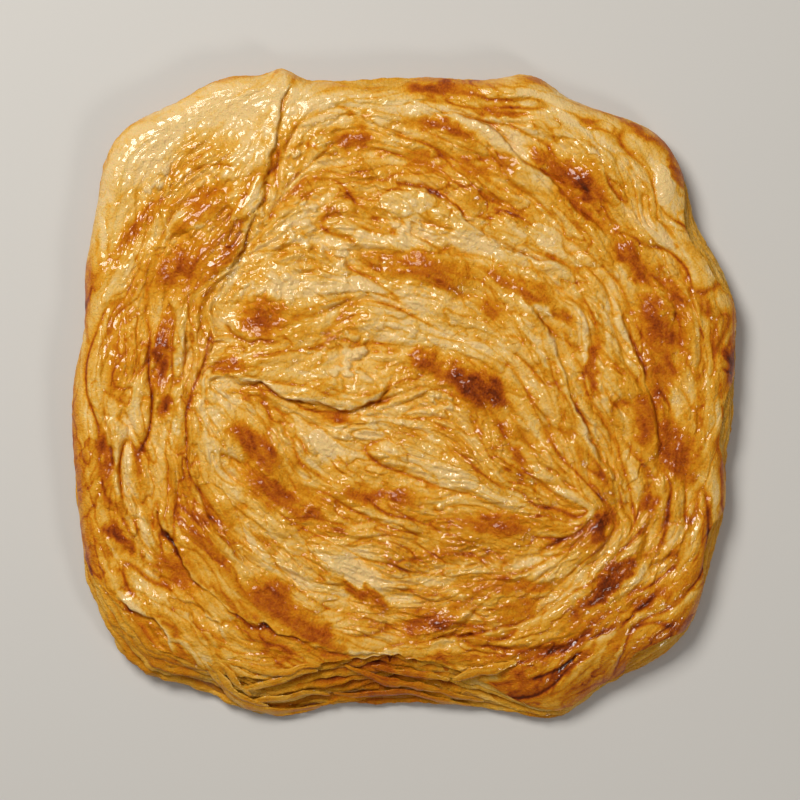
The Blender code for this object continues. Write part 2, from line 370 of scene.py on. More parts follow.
def guide_marks():
    """Places along all the lines, and the doubled angle of the way that each line runs there."""
    lines = [curve_through(points) for points in STRAND_LINES]
    lines += [curve_through(points) for points, *_ in FOLDS.values()]
    places = np.vstack([(line[1:] + line[:-1]) / 2 for line in lines])
    runs = np.vstack([line[1:] - line[:-1] for line in lines])
    doubled = 2.0 * np.arctan2(runs[:, 1], runs[:, 0])
    return places, doubled, np.hypot(*runs.T)


def flow_map():
    """The way that the fibres run in every cell, as an angle."""
    places, doubled, length = guide_marks()
    line = np.linspace(-MAP_HALF, MAP_HALF, GUIDE_CELLS)
    x, y = np.meshgrid(line, line)
    square = (x[..., None] - places[:, 0]) ** 2 + (y[..., None] - places[:, 1]) ** 2
    weight = length / (square + GUIDE_REACH**2) ** 1.5
    cosine = (weight * np.cos(doubled)).sum(-1) / weight.sum(-1)
    sine = (weight * np.sin(doubled)).sum(-1) / weight.sum(-1)
    return 0.5 * np.arctan2(read_map(sine, MAP_X, MAP_Y), read_map(cosine, MAP_X, MAP_Y))


FLOW = flow_map()


def combed(fields, bend, reach, stride):
    """Maps in which every cell is the mean of the cells along the fibre through it."""
    way_x, way_y = np.cos(FLOW + bend).ravel(), np.sin(FLOW + bend).ravel()
    flat = [field.ravel() for field in fields]
    totals = [field.copy() for field in flat]
    for sense in (1.0, -1.0):
        x, y = MAP_X.ravel() + MAP_HALF, MAP_Y.ravel() + MAP_HALF
        run_x, run_y = sense * way_x, sense * way_y
        for _ in range(round(reach / stride)):
            x, y = x + stride * run_x, y + stride * run_y
            column = np.clip(x / MAP_STEP + 0.5, 0, MAP_CELLS - 1).astype(np.int32)
            row = np.clip(y / MAP_STEP + 0.5, 0, MAP_CELLS - 1).astype(np.int32)
            cell = row * MAP_CELLS + column
            next_x, next_y = way_x[cell], way_y[cell]
            turned = np.where(next_x * run_x + next_y * run_y < 0.0, -1.0, 1.0)
            run_x, run_y = next_x * turned, next_y * turned
            for total, field in zip(totals, flat):
                total += field[cell]
    return [evened(total).reshape(MAP_X.shape) for total in totals]


# %% [markdown]
# ## Strands, pleats and threads
# Plain noise that is averaged along the fibres turns into long shapes that part, cross and meet as fibres
# do. Coarse noise gives the strands, finer noise the pleats of each, and the finest the threads. Each set
# bends a little away from the common flow, each in its own way, so that they weave.

# %% Combing the noise
STRAND_BLOB, TINT_BLOB, PLEAT_BLOB, STREAK_BLOB, THREAD_BLOB = 12.0, 6.0, 4.4, 2.2, 1.5
BEND = 0.24

coarse_bend, middle_bend = 0.6 * BEND * speckle(34, 103), BEND * speckle(22, 113)
fine_bend = BEND * speckle(14, 123)
strands, tints = combed((speckle(STRAND_BLOB, 101), speckle(TINT_BLOB, 102)), coarse_bend, 24.0, 1.2)
pleats, streaks = combed((speckle(PLEAT_BLOB, 111), speckle(STREAK_BLOB, 112)), middle_bend, 8.0, 0.6)
(threads,) = combed((speckle(THREAD_BLOB, 121),), fine_bend, 3.0, 0.4)
wide_patches, patches_of_skin = speckle(46, 131), speckle(17, 132)
print("the strands' map spans", round(float(strands.min()), 1), "to", round(float(strands.max()), 1))


# %% The folds' relief
def beside_curve(x, y, line):
    """Signed distance to a line, positive on its left, the share of it passed, and the way out."""
    nearest = np.full(x.shape, np.inf)
    side = np.zeros(x.shape)
    passed = np.zeros(x.shape)
    away = np.zeros((2, *x.shape))
    for i, (start, end) in enumerate(zip(line, line[1:])):
        run = end - start
        share = np.clip(((x - start[0]) * run[0] + (y - start[1]) * run[1]) / (run @ run), 0.0, 1.0)
        dx = x - start[0] - share * run[0]
        dy = y - start[1] - share * run[1]
        distance = np.hypot(dx, dy)
        closer = distance < nearest
        nearest = np.where(closer, distance, nearest)
        side = np.where(closer, np.sign(run[0] * dy - run[1] * dx), side)
        passed = np.where(closer, (i + share) / (len(line) - 1), passed)
        length = math.hypot(*run)
        away[0] = np.where(closer, -run[1] / length, away[0])
        away[1] = np.where(closer, run[0] / length, away[1])
    return nearest * side, passed, away


def fold_maps():
    """Height, depth of crease (used for painted shade) and torn edge of every fold, and how far its lip leans
    over the crease.
    """
    height, crease, edge = np.zeros((3, *MAP_X.shape))
    lean = np.zeros((2, *MAP_X.shape))
    ragged = 0.45 * speckle(11, 141) + 0.2 * speckle(3.5, 142)
    depth = np.clip(0.45 + 0.45 * speckle(16, 143), 0.0, 1.0)
    for points, step, width in FOLDS.values():
        line = curve_through(points)
        low, high = line.min(0) - FOLD_REACH, line.max(0) + FOLD_REACH
        near = (MAP_X > low[0]) & (MAP_X < high[0]) & (MAP_Y > low[1]) & (MAP_Y < high[1])
        distance, passed, away = beside_curve(MAP_X[near], MAP_Y[near], line)
        if step < 0:
            distance, away = -distance, -away
        distance = distance + ragged[near]
        ends = smooth_step(0.0, FOLD_ENDS, passed) * (1.0 - smooth_step(1.0 - FOLD_ENDS, 1.0, passed))
        rise = smooth_step(-LIP_SOFTNESS, LIP_SOFTNESS, distance)
        lip = rise * bell(np.maximum(distance, 0.0), 0.0, width)
        foot = bell(distance, -CREASE_WIDTH, CREASE_WIDTH) * depth[near]
        height[near] += abs(step) * ends * (lip - CREASE_SHARE * foot)
        crease[near] = np.maximum(crease[near], foot * ends * min(1.0, abs(step) / 2))
        torn = bell(distance, TORN_AT, TORN_WIDTH) * ends * min(1.0, abs(step) / 2.5)
        edge[near] = np.maximum(edge[near], torn)
        over = abs(step) * LEAN_SHARE * ends * rise * bell(np.maximum(distance, 0.0), 0.0, LEAN_WIDTH)
        lean[:, near] -= away * over
    return height, crease, edge, lean


fold_height, fold_crease, fold_edge, fold_lean = fold_maps()

# %% [markdown]
# ## Blisters and browning
# Steam lifts the skin into low domes, and the domes touch the pan and brown. So one table gives both:
# where a blister lies, how long and wide it is, how it leans, how high it stands and how brown it is.

# %% The blisters
# middle x and y, length and width in millimetres, lean in degrees, height, browning
BLISTERS = (
    (9, 10.5, 9.5, 5, -25, 1.2, 0.56), (28, 1.5, 10, 6.5, -30, 1.6, 0.92), (20, 5, 8, 4.5, -38, 0.4, 0.8),
    (8, 43, 15, 5, -8, 1.6, 0.4), (-75, 44, 12, 9, 30, 1.8, 0.26), (-77, 41, 8, 5, 30, 0.2, 0.6),
    (-48, 26, 8, 7, 20, 1.2, 0.46), (-15, 88, 7.5, 4.5, 0, 0.8, 0.55), (83, 90, 9, 1.8, -38, 0.2, 0.1),
    (94, 79, 8, 1.8, -60, 0.2, 0.15), (14, 91, 12, 2.4, -14, 0.9, 0.25), (7, 80, 6, 2, -5, 0.2, 0.4),
    (25, 76, 6, 3, -10, 0.3, 0.42), (12, 104, 11, 3, 0, 0.4, 0.5), (55, 75.5, 13, 3.6, -40, 1.2, 0.6),
    (61, 70.5, 6, 3.2, -42, 0.3, 0.8), (61, 63, 12, 2.4, -44, 0.3, 0.5), (64, 73, 7, 4, -40, 0.5, 0.15),
    (34, 96, 9, 1.8, -12, 0.2, 0.42), (42, 36, 14, 3, -24, 0.9, 0.25), (54, 28, 7, 2.6, -38, 0.4, 0.4),
    (31, 29, 5, 3, -20, 0.3, 0.35), (79, 45, 10, 4, -48, 0.9, 0.6), (93, 34, 6, 3.5, -50, 0.3, 0.45),
    (87, 24, 12, 6.5, -62, 1.2, 0.6), (90, 9, 6, 4, -70, 0.3, 0.5), (93, -19, 13, 6.5, -72, 1.2, 0.55),
    (113, 13, 6, 2, -90, 0.0, 0.6), (67, -45.8, 7.8, 3.6, 50, 1.3, 0.95), (83, -9, 11, 4.5, -78, 0.6, 0.45),
    (84, -38, 4, 2.5, 60, 0.2, 0.45), (70, -65, 17, 3, 45, 0.9, 0.82), (85, -70, 8, 3, 35, 0.4, 0.55),
    (-51, -18, 12, 5.5, -48, 1.3, 0.5), (-43, -35, 13, 5, -34, 0.8, 0.48),
    (-32, -42, 4.5, 2.2, 0, 0.3, 0.6), (-83, 14, 13, 2.8, 84, 0.8, 0.7), (-82, -3, 5, 2.4, 76, 0.4, 0.6),
    (-102, -21, 8, 3, -80, 0.5, 0.5), (-96, -49, 8, 3, -60, 0.6, 0.75), (-77, -61, 8, 4, -50, 0.5, 0.4),
    (-45, -70, 11, 6.5, -50, 1.5, 0.56), (-31, -82, 13, 5, -32, 1.4, 0.5),
    (-13, -68.5, 13, 2.6, -28, 0.8, 0.5), (-8, -35, 13, 3, -4, 0.7, 0.52),
    (33, -45, 11, 4.5, -6, 1.0, 0.55), (39, -74, 8, 4.5, 10, 0.7, 0.2), (8, -79, 10, 4, 25, 0.7, 0.6),
    (13, -78, 3.5, 2.5, 20, 0.1, 0.4), (43, -88, 6, 2.5, 10, 0.3, 0.5), (38, -97, 5, 3, 0, 0.0, 0.4),
    (65, 9, 11, 2.4, 84, 0.4, 0.5), (-60, 9.5, 6, 2.5, -10, 0.2, 0.5), (40, -21, 5, 2.5, -20, 0.3, 0.4),
    (-22, -8, 4.5, 2.6, -5, 0.0, 0.7), (35, -66, 18, 3, 0, 0.4, 0.3), (-70, 62, 14, 5, 40, 0.3, 0.3),
    (-91, -96, 9, 2.2, -35, 0.3, 0.5), (-88, -83, 8, 3, -50, -3.2, 0.12),
)


# %% The blisters' relief and browning
BLISTER_RISE, BLISTER_SHARPNESS = 1.35, 1.2
BROWN_REACH, COVER_SHARPNESS, BROWN_SHARPNESS = 0.78, 2.0, 1.5


def oval_square(x, y, middle_x, middle_y, length, width, lean):
    """The squared distance from an oval's middle, which is 1 on the oval itself."""
    turn = math.radians(lean)
    dx, dy = x - middle_x, y - middle_y
    along = (dx * math.cos(turn) + dy * math.sin(turn)) / length
    across = (dy * math.cos(turn) - dx * math.sin(turn)) / width
    return along**2 + across**2


def blister_maps():
    """Height, how much of each place a blister covers and how brown it is there. Their edges are ragged,
    as skin and pan meet unevenly."""
    height, cover, brown = np.zeros((3, *MAP_X.shape))
    push_x = 0.9 * speckle(8, 151) + 0.3 * speckle(2.2, 152)
    push_y = 0.9 * speckle(8, 153) + 0.3 * speckle(2.2, 154)
    grains = 0.05 * speckle(1.0, 155) + 0.1 * speckle(4.0, 156) + 0.04 * streaks
    for *oval, rise, browning in BLISTERS:
        near = np.hypot(MAP_X - oval[0], MAP_Y - oval[1]) < 3.2 * oval[2] + 4.0
        square = oval_square((MAP_X + push_x)[near], (MAP_Y + push_y)[near], *oval)
        height[near] += BLISTER_RISE * rise * np.exp(-(square**BLISTER_SHARPNESS))
        square = BROWN_REACH * np.maximum(square + grains[near], 0.0)
        cover[near] = np.maximum(cover[near], np.exp(-(square**COVER_SHARPNESS)))
        brown[near] = np.maximum(brown[near], browning * np.exp(-(square**BROWN_SHARPNESS)))
    return height, cover, brown


blister_height, blister_cover, blister_brown = blister_maps()


# Smooth places, where one skin lies taut over the strands: middle, length, width and lean. The pale and the
# amber skins have a sixth number, which is how much paler or browner they are. A few pale rows are painted
# highlights, and a few amber rows painted shade.
SMOOTH_SKINS = (
    (-46, 28, 20, 14, 0), (-82, 84, 36, 18, 45), (-100, 55, 34, 9, 78), (-50, 96, 26, 12, 20),
    (88, 84, 14, 9, -50),
)
PALE_SKINS_AND_HIGHLIGHTS = (
    # Painted highlights: the rows at (-68, 63.5) and (-51, 68) paint the white sheen along two glossy ridges.
    (-88, 84, 34, 15, 48, 0.22), (-68, 63.5, 13, 3, 24, 0.4), (-44, 52, 6, 5, 0, 0.16),
    (-71, 26, 4, 7, 0, 0.14), (-51, 68, 6, 1.8, 65, 0.26), (-52, 100, 24, 8, 14, 0.22),
    (-106, 48, 30, 5, 82, 0.14), (-28, 89, 10, 7, 80, 0.32), (-2, 91, 12, 5, 0, 0.34),
    (42, 101, 18, 6, -10, 0.34), (60, 86, 20, 6, -40, 0.1), (111, 14, 32, 3, 90, 0.14),
    (90, 72, 8, 4, -82, 0.2), (88, -80, 7, 5, 50, 0.2), (-100, -87, 12, 3.5, -42, 0.3),
    (-90, -91, 8, 3, -40, 0.2), (37, 79, 12, 7, -50, 0.34), (-50, 34, 8, 5, 0, 0.16),
    (-72, 52, 12, 5, 30, 0.16), (94, 52, 14, 8, -55, 0.2), (-38, 57, 10, 7, 70, 0.22),
    (-18, 53, 10, 7, -60, 0.24), (5, 65, 14, 5, -6, 0.16), (10, 52, 20, 5, -6, 0.34),
    (2, 32, 20, 5, -14, 0.28), (42, 55, 12, 5, -25, 0.14), (-29, 32, 16, 5, 12, 0.3),
    (-26.5, -18, 5, 3, -50, 0.3), (66, 66, 8, 3, -44, 0.14), (-20, 47, 8, 5, -20, 0.2),
    (10, 98, 40, 7, 0, 0.12), (58, 92, 20, 8, -38, 0.2), (78, 84, 12, 10, -40, 0.1),
    (97, 68, 12, 6, 80, 0.1), (42, -11, 6, 5, -40, 0.12), (-2, -13, 9, 3, -20, 0.24),
    (-48, -52, 7, 4, -50, 0.16), (-45, 42, 14, 5, 10, 0.08), (5, 18, 16, 7, -20, 0.36),
    (-106, -4, 14, 4, 85, 0.16), (-89, -53, 13, 5, -60, 0.2), (28, 15, 12, 5, -20, 0.2),
    (48, 30, 12, 6, -25, 0.4), (-66, 73, 5, 8, 20, 0.2), (-98, 57, 13, 4, 62, 0.18),
    (74, 55, 7, 6, -40, 0.2), (102, 33, 18, 6, -62, 0.28), (84, 57, 9, 5, -60, 0.2),
    (46, 14, 13, 5, -35, 0.2), (69, 19, 11, 4.5, 84, 0.22), (-30, 2, 18, 5, -12, 0.14),
    (-11, -10, 12, 4, -20, 0.12), (-37, -24, 12, 6, -50, 0.18), (-27, -17, 6, 4, -40, 0.16),
    (-77, -14, 6, 4, 80, 0.2), (-93, -16, 8, 3.5, 84, 0.26), (-14, -65, 9, 4, -30, 0.3),
    (12, -33, 18, 4, -14, 0.22), (13, -23, 18, 5, -28, 0.06), (42, -10, 6, 10, 0, 0.12),
    (51, -32, 14, 4, -38, 0.2), (36, -32, 8, 5, -40, 0.06), (-12, -45, 10, 4, -10, 0.12),
    (-16, -59, 16, 6, -34, 0.26), (-42, -59, 12, 7, -50, 0.18), (-23, -83, 7, 3, -20, 0.14),
    (26, -60, 16, 3.5, 0, 0.2), (62, -94, 10, 5, 20, 0.2), (-59, -80, 9, 5, -40, 0.24),
    (22, -73, 8, 3, 0, 0.12), (62, -59, 14, 5, 46, 0.2), (81, -57, 15, 5, 62, 0.22),
    (44, -76, 9, 4, 10, 0.22), (54, -63, 8, 4, 30, 0.16), (-10, -91, 12, 3, -4, 0.24),
    (31, -84, 8, 4, 10, 0.14), (-64, -12, 8, 26, 10, 0.1), (102, -36, 18, 4, 78, 0.2),
    (82, -101, 10, 4, 40, 0.1), (108, 30, 24, 4, 90, 0.1),
)
AMBER_SKINS_AND_SHADE = (
    (-80, 68, 22, 7, 45, 0.26), (5, -20, 9, 4, -20, 0.16), (44, -20, 5, 4, -20, 0.2),
    (-58, 50, 10, 4, -60, 0.12), (-48, 75, 15, 3.5, 60, 0.18), (-3, 75, 11, 7, 0, 0.24),
    (14, 66, 18, 4, -28, 0.18), (33, 66, 8, 4, -50, 0.12), (-17, 27, 5, 4, 10, 0.24),
    (13, -56, 15, 4.5, 4, 0.3), (-37, -56, 9, 4, -30, 0.18), (-26, -38, 7, 4, -30, 0.18),
    (-2, 12, 17, 4, -22, 0.16), (-44, 17, 14, 4, 0, 0.14), (-97, 9, 14, 6, 84, 0.22),
    (22, 81, 22, 5, -10, 0.14), (37, 63, 13, 4.5, -14, 0.2), (68, 62, 24, 7, -48, 0.14),
    (62, 52, 12, 5, -20, 0.1), (101, 30, 18, 5, -76, 0.12), (80, 4, 24, 10, -80, 0.18),
    (70, -27, 9, 4, -80, 0.16), (16, 5, 6, 4, -30, 0.14), (-24, -8, 6, 5, 0, 0.2),
    (100, 45, 6, 5, -60, 0.16), (-34, 66, 6, 4, 0, 0.12), (-25, -26, 5, 6, -40, 0.14),
    (17, -15, 14, 3, -35, 0.12), (-7, -29, 13, 4, -20, 0.18), (-16, -76, 9, 3, -20, 0.18),
    (2, -73, 14, 3, 0, 0.16), (-75, -33, 24, 6, -84, 0.16), (-65, -50, 16, 8, -50, 0.16),
    # Painted shade: the row at (-73, -80) darkens a shadowed hollow.
    (-33, -46, 14, 4, -14, 0.22), (36, -27, 7, 3.5, -50, 0.16), (-73, -80, 18, 5, -20, 0.2),
    (52, -41, 9, 6, -40, 0.18), (-46, -80, 16, 5, -38, 0.24), (30, -50, 26, 5, -2, 0.12),
    (58, -47, 8, 5, 60, 0.12), (96, -64, 16, 5, 60, 0.16), (66, -77, 12, 5, 30, 0.22),
    (-90, 57, 12, 4, 50, 0.14), (-63, 49, 7, 5, 0, 0.16), (56, 11, 8, 4, -20, 0.16),
    # Painted shade: the rows at (-89, -84) and (-97, -84) darken the hollow at the near left corner, which
    # faces away from the light.
    (86, -86, 14, 8, 45, 0.22), (-89, -84, 9, 2.5, -48, 0.2), (-97, -84, 13, 7, -44, 0.24),
    (62, -100, 9, 6, 40, 0.1), (86, -43, 8, 5, -80, 0.26), (20, -90, 36, 4, 4, 0.22),
    (47, -97, 20, 6, 25, 0.2),
)


def patches(x, y, table):
    """The share of soft oval patches at each place; a sixth number, if there, is their strength."""
    total = np.zeros(x.shape)
    for row in table:
        strength = row[5] if len(row) > 5 else 1.0
        total += strength * np.exp(-oval_square(x, y, *row[:5]))
    return total


# %% [markdown]
# ## Overlapping skins
# Pressing the coil burst its layers into thin skins, which lie over one another like long flat leaves and
# follow the fibres. They are laid down here one after another, each covering what lies under it, so every
# outline stops where a later skin covers it. Those that show most are laid last, at places of their own.

# %% The skins
SKIN_COUNT, SKIN_REACH = 340, 112.0
SKIN_EDGE, SKIN_OUTLINE = (0.88, 1.02), (0.93, 0.1)
# middle x and y, half length and half width, lean, lift, shade (pale below 0), how taut, how marked an edge
MAIN_SKINS_AND_HIGHLIGHTS = (
    (-88, 84, 20, 10, 50, 0.6, -0.8, 1.0, 0.3), (-84, 73, 9, 5, 65, 0.8, -1.2, 1.0, 0.4),
    # Painted highlights: the two ridges on this line are made very pale, for the white sheen along them, as
    # well as raised.
    (-70, 61.5, 14, 4, 27, 2.2, -2.2, 1.0, 0.8), (-53, 66, 10, 3, 62, 1.8, -2.0, 1.0, 0.8),
    (1, 65, 10, 5, -6, 1.5, -0.8, 0.9, 1.3), (22, 66, 8, 4, -14, 1.2, -0.6, 0.9, 1.2),
    (20, 58, 7, 3, -30, 0.8, -0.8, 1.0, 1.0), (36, 56, 9, 4, -30, 1.2, -1.2, 0.8, 1.2),
    (50, 53, 8, 3, -35, 0.9, -1.5, 0.8, 1.0), (8, 43, 16, 7, -8, 0.8, 0.5, 0.8, 1.0),
    (42, 33, 15, 6, -24, 0.8, 0.5, 0.6, 1.0), (-44, 38, 10, 6, 10, 0.8, -0.8, 0.9, 0.5),
    (-12, 25, 6, 4, 0, 0.8, -0.8, 0.7, 0.6), (-14, 15, 3.2, 3.2, 0, 1.6, -1.6, 1.0, 0.6),
    (-27, -18, 6, 3.5, -45, 1.1, -2.6, 1.0, 1.0), (-25, -27, 10, 3, -35, 0.7, -1.0, 0.8, 0.8),
    (13, -23, 16, 6, -30, 0.7, -1.2, 0.7, 0.9), (40, -21, 9, 4, -42, 0.8, -1.0, 0.8, 0.9),
    (49, -4, 10, 3.5, -55, 0.8, -1.2, 0.8, 0.9), (54, 15, 10, 4, -42, 0.8, -1.2, 0.7, 0.9),
    (-17, -62, 14, 4, -32, 0.8, -1.4, 0.4, 0.9), (-40, -48, 10, 4, -45, 0.7, -1.2, 0.9, 0.7),
    (-62, -40, 12, 5, -60, 0.7, 0.6, 0.9, 0.6), (30, -48, 16, 5, -3, 0.8, 0.6, 0.8, 0.9),
    (40, -75, 10, 6, 5, 0.9, 0.0, 0.9, 0.8), (82, -12, 12, 6, -80, 0.7, 0.4, 0.9, 0.7),
    (62, 76, 18, 6, -40, 0.8, 0.4, 0.8, 0.8), (-92, -72, 8, 2, -35, 1.0, -2.5, 1.0, 0.6),
    (-82, -80, 6, 1.8, -60, 1.0, -2.0, 1.0, 0.6), (-98, -82, 9, 2.5, -48, 1.4, -1.2, 1.0, 1.0),
    (-93, -90, 9, 2.2, -42, 1.2, -1.0, 1.0, 1.0), (-84, -95, 9, 2.2, -35, 1.2, -0.6, 1.0, 1.0),
    (90, 72, 8, 4, -82, 1.6, -1.6, 1.0, 1.0),
)


def skin_maps():
    """Height, shade, tautness and outline of the skins."""
    lots = np.random.default_rng(71)
    laid = []
    for _ in range(SKIN_COUNT):
        x, y = lots.uniform(-SKIN_REACH, SKIN_REACH, 2)
        length = lots.uniform(5.0, 15.0)
        width = length * lots.uniform(0.18, 0.36)
        column, row = int((x + MAP_HALF) / MAP_STEP), int((y + MAP_HALF) / MAP_STEP)
        lean = math.degrees(FLOW[row, column]) + lots.normal(0.0, 7.0)
        lift, taut, edge = lots.uniform(0.1, 0.8), lots.uniform(0.0, 0.9) ** 2, lots.uniform(0.0, 1.0)
        laid.append((x, y, length, width, lean, lift, lots.normal(0.0, 0.8), taut, edge))
    height, shade, tautness, outline = np.zeros((4, *MAP_X.shape))
    push_x = 0.9 * speckle(9, 171) + 0.25 * speckle(2.5, 172)
    push_y = 0.9 * speckle(9, 173) + 0.25 * speckle(2.5, 174)
    for x, y, length, width, lean, lift, paleness, taut, edge in (*laid, *MAIN_SKINS_AND_HIGHLIGHTS):
        reach = 1.3 * max(length, width) + 2.0
        rows, columns = [
            slice(max(0, int((at - reach + MAP_HALF) / MAP_STEP)), int((at + reach + MAP_HALF) / MAP_STEP))
            for at in (y, x)
        ]
        here = (rows, columns)
        square = oval_square((MAP_X + push_x)[here], (MAP_Y + push_y)[here], x, y, length, width, lean)
        inside = 1.0 - smooth_step(*SKIN_EDGE, square)
        line = bell(square, *SKIN_OUTLINE) * edge
        dome = lift * (0.3 + np.sqrt(np.maximum(1.0 - square, 0.0)))
        for field, value in ((height, dome), (shade, paleness), (tautness, taut), (outline, line)):
            field[here] += (value - field[here]) * inside
    return height, shade, tautness, outline


skin_height, skin_shade, skin_tautness, skin_outline = skin_maps()

# %% [markdown]
# ## The relief of the top
# Strands are round-backed with a sharp groove between them, which is what the size of a smooth number looks
# like either side of 0. One side of each groove also stands a little higher, as the layers overlap. Where
# butter pooled, it fried the skin into small bubbles.

# %% The maps that the crust reads
# Buttered, bubbly and lined places: middle, length, width and lean, and how marked the lines are.
GLOSSY = (
    (-80, 70, 22, 14, 50), (-62, 60, 20, 13, 40), (-68, 20, 26, 10, 80), (-30, 44, 22, 12, -10),
    (6, 60, 30, 12, -14), (-28, -16, 14, 10, -20), (18, -14, 26, 14, -40), (-52, -60, 24, 14, -50),
    (20, -60, 26, 12, -10), (-44, -66, 10, 8, -50), (-94, -84, 13, 8, -45), (-98, -14, 8, 5, 84),
    (40, -30, 18, 9, -40), (68, -60, 14, 9, 48), (0, -76, 22, 8, 0), (62, 80, 14, 7, -40),
)
BUBBLY = (
    (-84, 73, 9, 6, 70), (-63, 72, 9, 6, 20), (-50, 60, 9, 4, 60), (-33, 60, 6, 9, 0), (-36, 80, 5, 5, 0),
    (-25, 50, 8, 5, -30), (1, 58, 9, 9, 0), (-47, 34, 12, 10, 0), (-16, 17, 8, 6, 0), (-20, 6, 9, 4, -10),
    (15, -3, 8, 3, -20), (-78, 52, 12, 4, 20),
)
LINED = (
    (66, 84, 36, 14, -42, 0.6), (96, 36, 34, 12, -66, 0.5), (78, -60, 38, 18, 50, 0.7),
    (102, -18, 30, 12, 86, 0.5), (-96, -18, 34, 12, -86, 0.5), (-74, -68, 32, 12, -45, 0.5),
    (0, -84, 50, 10, 0, 0.5),
)
# Heights in millimetres: the back of a strand or pleat, its step at the groove, and what is finer.
STRAND_BACK, STRAND_STEP, PLEAT_BACK, PLEAT_STEP = 1.7, 0.4, 0.7, 0.25
STREAK_RISE, THREAD_RISE, PATCH_RISE, SKIN_RISE = 0.2, 0.16, 0.5, 0.9
BUBBLE_SIZE, BUBBLE_DRAG, BUBBLE_RISE, BUBBLE_RIM = 3.6, 0.7, 1.5, (0.82, 0.14)
TALLEST, MIDDLE_HEIGHT = 3.6, 1.1
# The hollows found below are used for painted shade: how far the relief is blurred, and the deepest that
# counts.
HOLLOW_REACH, HOLLOW_DEEPEST = 0.9, 0.8
# Browning from 0 to 1: the dough between the lines, a blister with no browning of its own, and each line.
PLAIN_TONE, BLISTER_TONE, LINES_MOST = 0.17, 0.44, 0.38
STRAND_LINE, PLEAT_LINE, STREAK_LINE, THREAD_LINE = 0.34, 0.28, 0.12, 0.14
LINE_WIDTH, STREAK_WIDTH, THREAD_WIDTH = 0.2, 0.25, 0.3


def top_maps():
    """Height, browning with painted shade in grooves, hollows and fold creases, crease shade and butter film
    of the top, each a map.
    """
    calm = np.clip(patches(MAP_X, MAP_Y, SMOOTH_SKINS), 0.0, 1.0)
    bubbly = smooth_step(0.3, 0.6, np.clip(patches(MAP_X, MAP_Y, BUBBLY), 0, 1) + 0.12 * speckle(7, 161))
    rough = (1.0 - 0.75 * calm) * (1.0 - 0.75 * blister_cover)
    rough = rough * (1.0 - 0.6 * skin_tautness) * (1.0 - 0.6 * bubbly)
    glossy = np.clip(patches(MAP_X, MAP_Y, GLOSSY) + 0.25 * patches_of_skin, 0.0, 1.0)
    groove = 1.0 - np.tanh(1.1 * np.abs(strands))
    pleat_groove = 1.0 - np.tanh(1.2 * np.abs(pleats))
    strand_edge, pleat_edge = bell(strands, 0.0, LINE_WIDTH), bell(pleats, 0.0, LINE_WIDTH)
    lined = patches(MAP_X, MAP_Y, LINED)
    strength = np.clip(0.8 + 0.3 * wide_patches + lined, 0.3, 1.5) * rough
    drawn_x, drawn_y = MAP_X + BUBBLE_DRAG * pleats, MAP_Y + BUBBLE_DRAG * threads
    near, lot = scattered(drawn_x / BUBBLE_SIZE, drawn_y / BUBBLE_SIZE, seed=46)
    from_middle = near / (0.5 + 0.16 * lot)
    bubble = 0.7 * smooth_step(1.0, 0.5, from_middle) + 0.35 * bell(from_middle, *BUBBLE_RIM)
    crinkle = (0.05 * speckle(1.3, 164) + 0.14 * speckle(2.6, 165)) * (0.8 + 0.2 * glossy)
    crinkle = crinkle + STREAK_RISE * glossy * streaks + THREAD_RISE * glossy * threads
    crinkle = crinkle * (1.0 - 0.6 * blister_cover)
    height = strength * (STRAND_BACK * (1.0 - groove) + STRAND_STEP * np.tanh(3.0 * strands))
    height += rough * (PLEAT_BACK * (1.0 - pleat_groove) + PLEAT_STEP * np.tanh(4.0 * pleats))
    height += rough * (STREAK_RISE * streaks + THREAD_RISE * threads) + crinkle + PATCH_RISE * patches_of_skin
    height += BUBBLE_RISE * bubble * bubbly + fold_height + blister_height + SKIN_RISE * skin_height
    height += 0.06 * speckle(1.3, 162) * blister_cover
    height = TALLEST * np.tanh((height - MIDDLE_HEIGHT) / TALLEST)
    hollow_shade = np.clip(blurred(height, HOLLOW_REACH) - height, -HOLLOW_DEEPEST, HOLLOW_DEEPEST)

    fine_lines = STREAK_LINE * bell(streaks, 0.0, STREAK_WIDTH)
    fine_lines += THREAD_LINE * bell(threads, 0.0, THREAD_WIDTH)
    lines = STRAND_LINE * strand_edge * strength + (PLEAT_LINE * pleat_edge + fine_lines) * rough
    # Painted shade: the dough is browned where the strands' grooves sink.
    skin = PLAIN_TONE + 0.12 * groove * strength + LINES_MOST * np.tanh(lines / LINES_MOST)
    skin += patches(MAP_X, MAP_Y, AMBER_SKINS_AND_SHADE) - patches(MAP_X, MAP_Y, PALE_SKINS_AND_HIGHLIGHTS)
    skin += 0.065 * tints + 0.045 * streaks + 0.03 * threads + 0.03 * patches_of_skin
    # Painted shade: the hollow term browns the dough in the hollows of the relief.
    skin += 0.07 * skin_shade + 0.28 * skin_outline + 0.18 * hollow_shade
    skin -= 0.14 * smooth_step(1.0, 0.5, from_middle) * bubbly
    browned = BLISTER_TONE + 0.46 * blister_brown + 0.05 * streaks + 0.03 * threads
    # Painted shade: the fold's crease term browns the dough at the fold's foot.
    tone = skin + (browned - skin) * blister_cover + 0.3 * fold_crease - 0.12 * fold_edge
    # Painted shade: fold creases and the bottoms of the strands' grooves are darkened.
    crease = np.maximum(0.6 * fold_crease, 0.2 * smooth_step(0.8, 1.0, groove) * strength)
    film = 0.36 + 0.7 * glossy + 0.2 * skin_tautness + 0.25 * speckle(7, 163)
    film = np.clip(film * (1.0 - 0.7 * blister_cover), 0.0, 1.0)
    toast = blister_cover * (0.3 + 0.7 * blister_brown)
    return {
        "height": height, "tone": tone, "crease": crease, "film": film, "toast": toast,
        "lean_x": fold_lean[0], "lean_y": fold_lean[1],
    }


